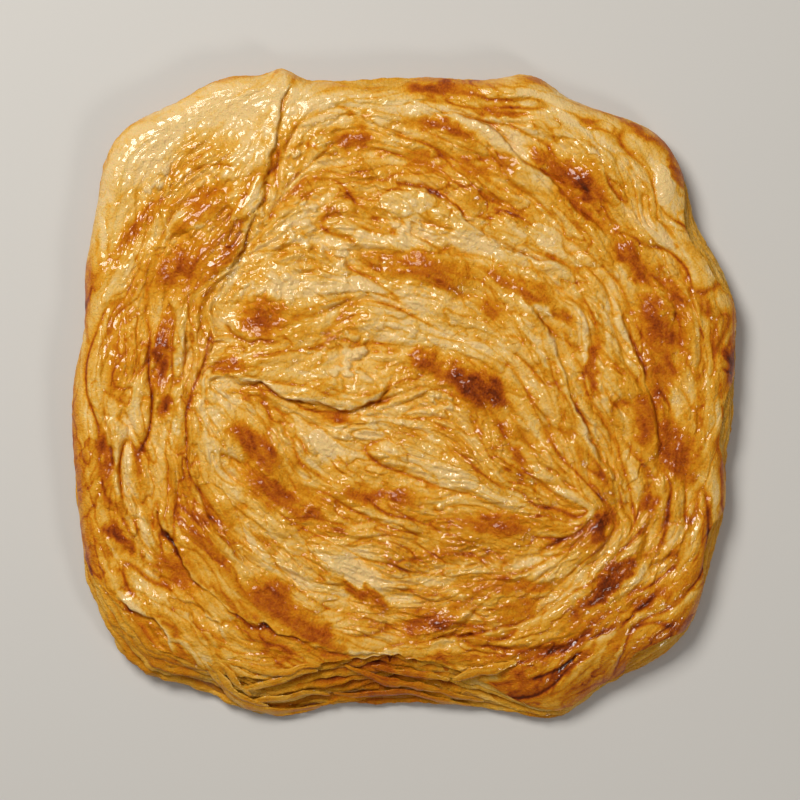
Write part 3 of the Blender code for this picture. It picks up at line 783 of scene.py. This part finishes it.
TOP = top_maps()
lowest, highest = float(TOP["height"].min()), float(TOP["height"].max())
print("the top's relief spans", round(lowest, 2), "to", round(highest, 2))

# %% [markdown]
# ## The top crust
# The crust is cut into bands round the heart, because one mesh as fine as the threads would be too heavy.
# Each band is wound from its own section, so its rows run round the bread as the strands do, and each ends
# where the next begins. The last band wraps over the edge, further where the side is round than over the
# layered skirt.

# %% Winding a section into a closed blank
def wound_blank(section, columns, name, closed=False):
    """A closed mesh: a grid wound round the heart, whose rows follow a section of (radius, height) pairs.
    The section ends on the axis at both ends, or is closed on itself for a ring."""
    section = section + section[:1] if closed else section
    rows = len(section) - 1
    shape = bmesh.new()
    bmesh.ops.create_grid(shape, x_segments=columns, y_segments=rows, size=0.5)
    for vert in shape.verts:
        radius, height = section[round((vert.co.y + 0.5) * rows)]
        turn = math.tau * (vert.co.x + 0.5)
        vert.co = (radius * math.cos(turn), radius * math.sin(turn), height)
    bmesh.ops.remove_doubles(shape, verts=shape.verts, dist=1e-5)
    bmesh.ops.recalc_face_normals(shape, faces=shape.faces)
    mesh = bpy.data.meshes.new(name)
    shape.to_mesh(mesh)
    shape.free()
    return mesh


def mesh_points(mesh):
    """A mesh's vertices as an array."""
    flat = np.zeros(len(mesh.vertices) * 3)
    mesh.vertices.foreach_get("co", flat)
    return flat.reshape(-1, 3)


def round_places(mesh):
    """A blank's vertices as an angle, a distance from the axis and a height."""
    x, y, z = mesh_points(mesh).T
    return np.arctan2(y, x), np.hypot(x, y), z


def pushed_out(x, y, angle, distance):
    """Places moved away from the heart."""
    return x + distance * np.cos(angle), y + distance * np.sin(angle)


def finished_piece(mesh, x, y, z, **attributes):
    """Moves the vertices, stores what the finishes read, and makes the object that rides."""
    metres = np.stack([x, y, z], axis=1) * (TO_METRES, TO_METRES, UP_TO_METRES)
    mesh.vertices.foreach_set("co", metres.ravel())
    for title, values in attributes.items():
        layer = mesh.attributes.new(title, "FLOAT", "POINT")
        layer.data.foreach_set("value", values.ravel())
    mesh.shade_smooth()
    mesh.update()
    piece = bpy.data.objects.new(mesh.name, mesh)
    bpy.context.scene.collection.objects.link(piece)
    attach(piece, "root")
    print(piece.name, len(mesh.polygons), "faces")
    return piece


# %% The crust's bands
# name, first and last share, columns, rows: a share of 0 is the heart, 1 the shoulder and 2 the crust's end
CRUST_BANDS = (
    ("crust_heart", 0.0, 0.34, 720, 110),
    ("crust_coils", 0.34, 0.62, 1180, 81),
    ("crust_strands", 0.62, 0.84, 1400, 68),
    ("crust_shoulder", 0.84, 1.0, 1600, 58),
    ("crust_side", 1.0, 2.0, 1600, 52),
)
HIDDEN_FLOOR, HIDDEN_TUCK = 9.5, 3.0
# Openings, where the crust ends higher up and the layers show: middle and half angle, and how far up.
OPENINGS = (
    (262, 28, 0.84), (222, 11, 0.8), (26, 9, 0.5), (355, 6, 0.45), (334, 5, 0.4), (95, 6, 0.5),
    (314, 5, 0.45),
)
CRUST_REACH = 0.93
# The crust is made darker over the rim, and down the side as painted shade, where the edge turns from the
# light.
RIM_DARKENING, SIDE_SHADE = 0.06, 0.12


def crust_end(angle):
    """How far down the side the crust wraps: most of it, but little at the openings."""
    end = CRUST_REACH + 0.07 * ring_noise(9, angle, seed=51) + 0.04 * ring_noise(34, angle, seed=52)
    for middle, half_angle, depth in OPENINGS:
        end = end - depth * np.exp(-((degrees_from(angle, middle) / half_angle) ** 4))
    return np.clip(end, 0.03, 0.97)


def crust_points(angle, share):
    """Where the crust's vertices lie, and what the finishes read there."""
    ring = np.minimum(share, 1.0)
    outward = np.clip(share - 1.0, 0.0, 1.0) * crust_end(angle)
    slope = side_slope(angle)
    x, y = ring_place(angle, ring, slope)
    x, y = pushed_out(x, y, angle, slope * outward)
    reads = {name: read_map(field, x, y) for name, field in TOP.items()}
    fade = 1.0 - smooth_step(0.1, 1.0, outward)
    dome = SHOULDER + (CROWN - SHOULDER) * (1.0 - smooth_step(0.2, 1.0, ring))
    crest = dome + reads["height"] * fade * (1.0 - 0.45 * smooth_step(0.9, 1.0, ring))
    z = np.minimum(side_height(angle, outward, crest), HIGH_MM + 0.2)
    x, y = x + reads.pop("lean_x") * fade, y + reads.pop("lean_y") * fade
    reads.pop("height")
    rim, side = smooth_step(0.86, 1.05, share), smooth_step(0.2, 1.0, outward)
    # Darker over the rim, and painted shade down the side.
    reads["tone"] = reads["tone"] + RIM_DARKENING * rim + SIDE_SHADE * side
    return x, y, z, reads


def make_band(name, first, last, columns, rows):
    """One closed band of the crust; its walls and floor are hidden inside the bread."""
    top = [(first + (last - first) * i / rows, 1.0) for i in range(rows + 1)]
    profile = top + [(last, 0.0), (first, 0.0)]
    mesh = wound_blank(profile, columns, name, closed=first > 0.0)
    angle, share, height = round_places(mesh)
    hidden = height < 0.5
    x, y, z, reads = crust_points(angle, share)
    x, y = pushed_out(x, y, angle, np.where(hidden & (share > 1.5), -HIDDEN_TUCK, 0.0))
    z = np.where(hidden, np.minimum(z - 1.0, HIDDEN_FLOOR), z)
    piece = finished_piece(mesh, x, y, z, **reads)
    border = ~hidden & ((np.abs(share - last) < 1e-4) | ((np.abs(share - first) < 1e-4) & (first > 0)))
    ends = np.zeros(len(mesh.edges) * 2, int)
    mesh.edges.foreach_get("vertices", ends)
    sharp = mesh.attributes.new("sharp_edge", "BOOLEAN", "EDGE")
    sharp.data.foreach_set("value", border[ends.reshape(-1, 2)].all(1))
    return piece


crust = [make_band(*band) for band in CRUST_BANDS]
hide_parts("flatbread")

# %% [markdown]
# ## The crumb and the pan-baked underside
# Below the crust is the body of the bread. Its side shows only in the gaps between the leaves, and its
# underside lay on the pan, so it is flat where it touched and browned in spots. The strands of the top run
# right through, so the underside reads the same maps.

# %% The crumb
CRUMB_COLUMNS, CRUMB_SIDE_ROWS, CRUMB_BASE_ROWS = 900, 44, 62
TUCK, WIDEST, CRUMB_INSET, CRUMB_TOP = 7.0, 0.6, 2.4, 10.5
LAYER_PITCH, FINE_LAYER_PITCH = 1.3, 0.7


def make_crumb():
    """The closed body inside the crust and the leaves."""
    profile = [(i / 3, 1.0) for i in range(4)]
    profile += [(1.0, 1.0 - 2.0 * i / CRUMB_SIDE_ROWS) for i in range(1, CRUMB_SIDE_ROWS + 1)]
    profile += [(1.0 - i / CRUMB_BASE_ROWS, -1.0) for i in range(1, CRUMB_BASE_ROWS + 1)]
    mesh = wound_blank(profile, CRUMB_COLUMNS, "crumb")
    angle, ring, height = round_places(mesh)
    slope = side_slope(angle)
    down = (1.0 - height) / 2.0
    outward = np.clip(down / WIDEST, 0.0, 1.0)
    inward = np.clip((down - WIDEST) / (1.0 - WIDEST), 0.0, 1.0)
    under = height < -0.999
    x, y = ring_place(angle, ring, slope)
    inset = CRUMB_INSET * (1.0 - inward)
    outset = slope * outward - inset - TUCK * (1.0 - np.cos(inward * math.pi / 2))
    x, y = pushed_out(x, y, angle, outset * smooth_step(0.0, 0.3, ring))
    z = side_height(angle, outward, CRUMB_TOP)
    toe = side_height(angle, 1.0, 0.0)
    z = np.where(inward > 0, toe * (1.0 - np.sin(inward * math.pi / 2)), z)
    layers = 1.0 - 2.0 * np.abs(ring_noise(6, angle, z / LAYER_PITCH, seed=61))
    fine_layers = ring_noise(40, angle, z / FINE_LAYER_PITCH, seed=62)
    x, y = pushed_out(x, y, angle, (0.55 * layers + 0.3 * fine_layers) * ~under)
    strand, pleat = read_map(strands, -x, y), read_map(pleats, -x, y)
    streak, patch = read_map(streaks, -x, y), read_map(patches_of_skin, -x, y)
    groove = 1.0 - np.tanh(1.6 * np.abs(strand))
    lift = 0.9 * smooth_step(0.35, 1.0, groove) + 0.3 * (1.0 - np.tanh(1.5 * np.abs(pleat)))
    lift = (lift + 0.8 * np.maximum(patch - 0.4, 0.0)) * smooth_step(1.0, 0.93, ring)
    z = np.where(under, np.maximum(lift - 0.15, 0.0), z)
    spots = smooth_step(-0.4, 1.2, read_map(wide_patches, x, -y) + 0.8 * read_map(tints, -x, y))
    toast = 0.25 + 0.5 * spots - 0.3 * np.minimum(lift, 1.0)
    belly = smooth_step(0.0, 0.3, inward)
    # Painted shade: the crumb's side shows only in the gaps between the leaves, so it gets a dark tone,
    # darker between its layers, and a crease shade that lessens towards the belly; the underside's grooves
    # get a little crease shade too.
    gap_shade, belly_tone = 0.56 - 0.14 * layers, 0.34 - 0.1 * layers + 0.12 * fine_layers + 0.2 * inward
    tone = np.where(under, 0.34 + 0.5 * toast + 0.07 * streak, gap_shade + (belly_tone - gap_shade) * belly)
    crease = np.where(under, 0.3 * smooth_step(0.6, 1.0, groove), 0.6 - 0.4 * belly)
    film, toast = np.full(x.shape, 0.25), np.where(under, toast, 0.0)
    return finished_piece(mesh, x, y, z, tone=tone, crease=crease, film=film, toast=toast)


crumb = make_crumb()

# %% [markdown]
# ## The leaves round the edge
# Where the laminated dough ends, its layers stand apart as thin leaves. Each leaf is a flat loop spun
# into a closed ring, with an edge of its own waves, so the leaves cross and fan as real ones do.

# %% The leaves
LEAF_COUNT, LEAF_COLUMNS, LEAF_WIDTH, LEAF_THICK = 8, 1000, 9.0, 0.45
LEAF_STEPS = 8
# Corners and the middle of the skirt, each with its half width: in degrees, and in millimetres for the last.
# The middle is a band of painted shadow.
TORN_CORNER, TOASTED_CORNER, SKIRT_SHADOW_BAND = (222.0, 12.0), (228.0, 5.0), (-8.0, 20.0)
CORNER_TEAR, CORNER_TOAST, SKIRT_SHADOW_TONE = 1.5, 0.25, 0.26


def make_leaf(index):
    """One closed ring of thin layer, between the crust's edge and the foot of the side."""
    shares = [i / LEAF_STEPS for i in range(LEAF_STEPS + 1)]
    loop = [(1.0 + s, 1.0) for s in shares] + [(1.0 + s, -1.0) for s in reversed(shares)]
    mesh = wound_blank(loop, LEAF_COLUMNS, f"leaf_{index + 1:02d}", closed=True)
    angle, share, face = round_places(mesh)
    share, turn = share - 1.0, np.degrees(angle) % 360.0
    skirt = skirt_share(angle)
    slope = side_slope(angle)
    start = crust_end(angle) * 0.9
    place = (index + 0.5) / LEAF_COUNT
    wave = 0.22 * ring_noise(2.6, angle, index * 1.3, seed=71)
    wave += 0.16 * ring_noise(8, angle, index * 1.7, seed=70)
    outward = start + (1.0 - start) * np.clip(place + wave * (0.3 + 0.7 * skirt), 0.02, 1.0)
    torn = 0.8 * ring_noise(7, angle, index * 1.7, seed=72) + 0.45 * ring_noise(26, angle, index, seed=73)
    torn = torn * (1.0 + CORNER_TEAR * bell(turn, *TORN_CORNER))
    fringe = 0.25 * ring_noise(90, angle, index, seed=74)
    reach = slope * outward - 0.3 + (0.9 + 0.6 * skirt) * torn + fringe
    reach = np.minimum(reach, slope + 0.4)
    reach = reach - LEAF_WIDTH * (1.0 - share)
    x, y = ring_place(angle, np.ones(angle.shape), slope)
    x, y = pushed_out(x, y, angle, reach)
    z = side_height(angle, np.minimum(outward, 1.0), SHOULDER - 0.5 - 0.15 * index)
    puff = ring_noise(11, angle, index * 2.1 + 1.2 * share, seed=75)
    ripple = ring_noise(30, angle, index * 2.1 + 2.5 * share, seed=80)
    lift = 0.6 * (1.0 - share) - 0.5 * share**3 + 1.6 * (1.0 - smooth_step(0.0, 0.5, share))
    z = z + (0.9 * puff + 0.35 * ripple) * (0.3 + 0.7 * skirt) + lift
    covered = reach < slope * crust_end(angle) - 0.6
    z = np.where(covered, np.minimum(z, side_height(angle, reach / slope, SHOULDER) - 2.6), z)
    z = z + 0.5 * LEAF_THICK * (1.0 - 0.6 * share**2) * face
    z = np.clip(z, 0.25, SHOULDER + 1.0)
    edge = smooth_step(0.75, 1.0, share)
    toast = 0.3 * edge * np.clip(0.1 + ring_noise(7, angle, index, seed=77), 0.0, 1.0)
    toast = toast + CORNER_TOAST * edge * bell(turn, *TOASTED_CORNER)
    # Painted shade: the inner part of each leaf, which lies under the leaf above, is made browner and given
    # crease shade.
    shaded_inner = 1.0 - smooth_step(0.45, 0.95, share)
    tone = 0.28 + 0.18 * ring_noise(6, angle, index, seed=76) + 0.3 * shaded_inner
    # Painted shadow: a band across the middle of the skirt is made browner.
    tone = tone + SKIRT_SHADOW_TONE * skirt * bell(x, *SKIRT_SHADOW_BAND)
    tone = tone + 0.1 * ring_noise(40, angle, 5 * share + index, seed=78) + 0.8 * toast - 0.05 * edge
    film = np.clip(0.5 + 0.5 * ring_noise(8, angle, index, seed=79), 0, 1)
    return finished_piece(mesh, x, y, z, tone=tone, crease=0.7 * shaded_inner, film=film, toast=toast)


leaves = [make_leaf(i) for i in range(LEAF_COUNT)]

# %% [markdown]
# ## Strands across the skirt
# A few strands came away from the stack and lie across it. Each is a ball drawn out along a line of its own,
# so it closes at both ends.

# %% Loose strands
# points along the strand, half its width, and how far it lies above the leaves
LOOSE_STRANDS = (
    (((-74, -88), (-68, -93), (-62, -100), (-56, -106), (-48, -109), (-38, -110), (-28, -107.5)), 1.4, 0.3),
    (((-71, -89), (-64, -95), (-59, -101.5), (-53, -105.5), (-46, -107.5)), 1.1, 1.2),
    (((-65, -90), (-60, -95.5), (-56, -100.5), (-52, -104)), 1.0, 2.0),
    (((-64, -91), (-54, -93), (-47, -95), (-40, -95.5), (-35, -93.7), (-28, -93)), 1.3, 2.2),
    (((-58, -101), (-54, -101), (-48, -100), (-42, -98), (-35, -95.5), (-29, -95)), 1.1, 1.4),
    (((-52, -105.5), (-46, -105), (-40, -104.7), (-34, -103), (-25, -104)), 1.2, 1.0),
    (((-20, -93), (-13, -96), (-6, -99), (3, -100), (10, -101.5), (18, -104), (28, -106)), 1.2, 1.2),
    (((-11, -93.5), (-1, -95.5), (8, -96.5), (16, -98.5)), 1.2, 1.8),
    (((17, -98.5), (25, -95.5), (32, -94), (39, -92)), 1.7, 2.0),
    (((-24, -103), (-15, -104), (-6, -103), (3, -103), (13, -106), (24, -108)), 1.0, 0.4),
)
STRAND_SIDES, STRAND_RINGS = 16, 140
FLATNESS = 0.3


def make_strand(index, points, half_width, above):
    """One strand, drawn out from a ball along its line."""
    ball = bmesh.new()
    bmesh.ops.create_uvsphere(ball, u_segments=STRAND_SIDES, v_segments=STRAND_RINGS, radius=1.0)
    mesh = bpy.data.meshes.new(f"loose_strand_{index + 1:02d}")
    ball.to_mesh(mesh)
    ball.free()
    cx, cy, cz = mesh_points(mesh).T
    line = curve_through(points)
    along = np.arccos(np.clip(cz, -1.0, 1.0)) / math.pi
    span = np.hypot(cx, cy)
    across = cx / np.maximum(span, 1e-6)
    up = cy / np.maximum(span, 1e-6)
    steps = np.concatenate([[0.0], np.cumsum(np.hypot(*np.diff(line, axis=0).T))])
    at = along * steps[-1]
    x, y = np.interp(at, steps, line[:, 0]), np.interp(at, steps, line[:, 1])
    ahead_x = np.interp(at + 0.5, steps, line[:, 0]) - np.interp(at - 0.5, steps, line[:, 0])
    ahead_y = np.interp(at + 0.5, steps, line[:, 1]) - np.interp(at - 0.5, steps, line[:, 1])
    length = np.hypot(ahead_x, ahead_y)
    taper = np.where(span > 1e-5, np.maximum(span, 0.0) ** 0.35, 0.0)
    swell = 1.05 + 0.6 * noise(at / 6.0, index * 3.1, seed=91)
    swell += 0.2 * noise(at / 1.6, index * 3.1, 2 * up, seed=92)
    wander = 0.5 * noise(at / 7.0, index * 5.3, seed=93)
    wide = across * half_width * taper * swell + wander
    x, y = x - ahead_y / length * wide, y + ahead_x / length * wide
    angle = np.arctan2(y, x)
    slope = side_slope(angle)
    edge_x, edge_y = ring_place(angle, np.ones(angle.shape), slope)
    outward = np.clip((np.hypot(x, y) - np.hypot(edge_x, edge_y)) / slope, 0.0, 1.0)
    lie = side_height(angle, outward, SHOULDER - 0.6) + above * (0.4 + 0.6 * span)
    lie += 0.3 * noise(at / 6.0, index, seed=94)
    ribs = 0.16 * noise(at / 12.0, 4.0 * across, index * 2.3, seed=98)
    z = np.clip(lie + up * FLATNESS * half_width * taper * swell + ribs * up, 0.3, HIGH_MM)
    fibres = noise(at / 9.0, 3.0 * across, 2.0 * up + index, seed=95)
    # Painted shade: the strand's underside is browned here, and given crease shade below.
    tone = 0.33 + 0.2 * fibres + 0.14 * noise(at / 4.0, index * 7.7, seed=96) + 0.25 * np.maximum(-up, 0.0)
    toast = 0.3 * smooth_step(0.55, 1.0, outward) * np.clip(noise(at / 8.0, index, seed=97) + 0.3, 0.0, 1.0)
    # Painted shadow: the same band across the middle of the skirt.
    tone += SKIRT_SHADOW_TONE * bell(x, *SKIRT_SHADOW_BAND)
    tone += 0.5 * toast
    crease, film = 0.5 * np.maximum(-up, 0.0), 0.7 + 0.3 * fibres
    return finished_piece(mesh, x, y, z, tone=tone, crease=crease, film=film, toast=toast)


loose_strands = [make_strand(i, *strand) for i, strand in enumerate(LOOSE_STRANDS)]

# %% [markdown]
# ## The baked dough
# One finish serves every piece, because it is one dough: what changes is how brown and how pale it is, and
# how much painted shade darkens its creases, gaps and undersides, and each piece's attributes say so. Noise
# in the finish adds a mottle and specks that are too fine for the meshes.

# %% Shader sums as expressions
class Wire:
    """A socket of a shader tree, with sums that add their own nodes."""

    tree = None

    def __init__(self, socket):
        self.socket = socket

    @classmethod
    def node(cls, kind, settings=None, **inputs):
        """Adds a node: its settings first, and then the values or links of its sockets."""
        made = cls.tree.nodes.new(kind)
        for title, value in (settings or {}).items():
            setattr(made, title, value)
        for title, value in inputs.items():
            cls.feed(made.inputs[title], value)
        return made

    @classmethod
    def feed(cls, socket, value):
        """Links a wire to a socket, or sets the socket's value."""
        if isinstance(value, Wire):
            cls.tree.links.new(value.socket, socket)
        else:
            socket.default_value = value

    def math(self, operation, other):
        """A sum of this wire and another wire or number."""
        made = Wire.node("ShaderNodeMath", {"operation": operation})
        Wire.feed(made.inputs[0], self)
        Wire.feed(made.inputs[1], other)
        return Wire(made.outputs[0])

    def __add__(self, other):
        return self.math("ADD", other)

    def __mul__(self, other):
        return self.math("MULTIPLY", other)

    def __sub__(self, other):
        return self.math("SUBTRACT", other)

    def __rsub__(self, other):
        return (self * -1.0) + other


def linear(*shades):
    """A colour from 0 to 255 a channel, as light adds it up."""
    parts = [s / 255 for s in shades]
    return (*[p / 12.92 if p < 0.04045 else ((p + 0.055) / 1.055) ** 2.4 for p in parts], 1.0)


def attribute(name):
    """A value that the piece's vertices carry."""
    return Wire(Wire.node("ShaderNodeAttribute", {"attribute_name": name}).outputs["Fac"])


def grain(vector, scale, detail, rough):
    """Noise from 0 to 1 on a vector."""
    made = Wire.node("ShaderNodeTexNoise", Vector=vector, Scale=scale, Detail=detail, Roughness=rough)
    return Wire(made.outputs["Fac"])


def ramp(value, stops):
    """Colours along a value."""
    made = Wire.node("ShaderNodeValToRGB", Fac=value)
    band = made.color_ramp
    while len(band.elements) < len(stops):
        band.elements.new(0.5)
    for element, (place, colour) in zip(band.elements, stops):
        element.position = place
        element.color = linear(*colour)
    return Wire(made.outputs["Color"])


def darkened(colour, share, tint):
    """A colour multiplied by a tint, by a share."""
    made = Wire.node("ShaderNodeMix", {"data_type": "RGBA", "blend_type": "MULTIPLY"})
    for socket, value in ((0, share), (6, colour), (7, tint)):
        Wire.feed(made.inputs[socket], value)
    return Wire(made.outputs[2])


# %% The finish
# The dough's colours from pale to dark brown, and the tint that painted shade in a crease is multiplied by.
DOUGH_TONES = (
    (0.00, (250, 212, 143)),
    (0.14, (246, 196, 100)),
    (0.28, (238, 172, 50)),
    (0.42, (224, 146, 16)),
    (0.56, (206, 116, 5)),
    (0.70, (179, 84, 3)),
    (0.85, (134, 52, 3)),
    (1.00, (84, 32, 3)),
)
CREASE_SHADE_TINT = (150, 78, 22)
MOTTLE_SCALE, SPECK_SCALE, PORE_SCALE = 260.0, 1400.0, 1500.0
PLAIN_SOCKETS = {
    "Coat Roughness": 0.1,
    "Specular IOR Level": 0.14,
    "Subsurface Weight": 0.12,
    "Subsurface Radius": (1.0, 0.45, 0.15),
    "Subsurface Scale": 0.0012,
}


def baked_dough():
    """Baked, buttered and layered dough."""
    made = bpy.data.materials.new("baked_dough")
    made.use_nodes = True
    Wire.tree = made.node_tree
    shader = made.node_tree.nodes["Principled BSDF"]
    tone, toast = attribute("tone"), attribute("toast")
    crease, film = attribute("crease"), attribute("film")
    place = Wire(Wire.node("ShaderNodeTexCoord").outputs["Object"])
    mottle = grain(place, MOTTLE_SCALE, 4.0, 0.6)
    specks = grain(place, SPECK_SCALE, 3.0, 0.65)
    shade = tone + (mottle - 0.5) * (toast * 0.2 + 0.2) + (specks - 0.5) * (toast * 0.25 + 0.24)
    shade = shade.math("MAXIMUM", 0.0).math("MINIMUM", 1.0)
    # Painted shade: the crease attribute multiplies the colour towards a dark tint in creases, gaps and
    # undersides.
    colour = darkened(ramp(shade, DOUGH_TONES), crease * 0.6, linear(*CREASE_SHADE_TINT))
    Wire.feed(shader.inputs["Base Color"], colour)
    Wire.feed(shader.inputs["Roughness"], 0.45 - film * 0.15 + (mottle - 0.5) * 0.15)
    Wire.feed(shader.inputs["Coat Weight"], (film * 0.85 + 0.17).math("MINIMUM", 1.0))
    for title, value in PLAIN_SOCKETS.items():
        shader.inputs[title].default_value = value
    relief = mottle * 0.8 + specks * 0.8 + grain(place, PORE_SCALE, 2.0, 0.6) * 0.25
    bump = Wire.node("ShaderNodeBump", Strength=1.0, Distance=0.0009, Height=relief)
    Wire.feed(shader.inputs["Normal"], Wire(bump.outputs["Normal"]))
    return made


dough = baked_dough()
for piece in (*crust, crumb, *leaves, *loose_strands):
    piece.data.materials.append(dough)

# %% [markdown]
# ## The studio
# A pale floor, a large soft light from the far left, a dim one from the near right and a faint one from
# above that leaves no highlights, seen from straight above.

# %% Floor, lights and camera
WARM_WHITE, ROOM_WHITE, PALE_FLOOR = (1.0, 0.96, 0.9), (1.0, 0.98, 0.95, 1), (0.62, 0.61, 0.59, 1)
ROOM_LIGHT = 0.09
FLOOR_SIZE, FLOOR_GAP = 1.5, 0.0002


def light(name, place, size, power, shines=True):
    """A warm area light that faces the bread; one that doesn't shine leaves no highlights."""
    lamp = bpy.data.lights.new(name, "AREA")
    lamp.shape, lamp.size, lamp.energy, lamp.color = "DISK", size, power, WARM_WHITE
    holder = bpy.data.objects.new(name, lamp)
    holder.location = place
    holder.visible_glossy = shines
    aim = -holder.location
    holder.rotation_euler = aim.to_track_quat("-Z", "Y").to_euler()
    bpy.context.scene.collection.objects.link(holder)


bench = bmesh.new()
bmesh.ops.create_grid(bench, x_segments=1, y_segments=1, size=FLOOR_SIZE)
bench_mesh = bpy.data.meshes.new("bench")
bench.to_mesh(bench_mesh)
bench.free()
floor = bpy.data.objects.new("bench", bench_mesh)
floor.location.z = LOW.z - FLOOR_GAP
bpy.context.scene.collection.objects.link(floor)
pale_paint = bpy.data.materials.new("pale_bench")
pale_paint.use_nodes = True
paint = pale_paint.node_tree.nodes["Principled BSDF"]
paint.inputs["Base Color"].default_value = PALE_FLOOR
paint.inputs["Roughness"].default_value = 0.7
floor.data.materials.append(pale_paint)
floor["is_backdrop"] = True

# name, place, width and power in watts
light("key_window", (-0.45, 0.55, 1.0), 0.55, 12.6)
light("fill_right", (0.7, -0.7, 0.8), 0.3, 3.0)
light("overhead", (0.0, 0.1, 1.4), 0.5, 1.2, shines=False)
world = bpy.data.worlds.new("studio")
bpy.context.scene.world = world
world.use_nodes = True
room = world.node_tree.nodes["Background"]
room.inputs["Color"].default_value = ROOM_WHITE
room.inputs["Strength"].default_value = ROOM_LIGHT
world.cycles_visibility.glossy = False
bpy.context.scene.view_settings.view_transform = "Standard"

# The view is this wide at the height of the bread's outline.
CAMERA_HEIGHT, VIEW_WIDTH, OUTLINE_HEIGHT = 1.2, 0.276, 0.006
lens = bpy.data.cameras.new("camera")
lens.lens = lens.sensor_width * (CAMERA_HEIGHT - OUTLINE_HEIGHT) / VIEW_WIDTH
lens.clip_start = 0.05
camera = bpy.data.objects.new("camera", lens)
camera.location = (-0.001, -0.0022, CAMERA_HEIGHT)
bpy.context.scene.collection.objects.link(camera)
bpy.context.scene.camera = camera

# %% [markdown]
# ## Measuring
# The dressed bread must keep the part's size, so both boxes are printed side by side.

# %% Sizes
sizes = {"cad": cad_box, "visual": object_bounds()}
sizes = {name: [[float(v) for v in corner] for corner in box] for name, box in sizes.items()}
print("boxes", sizes)
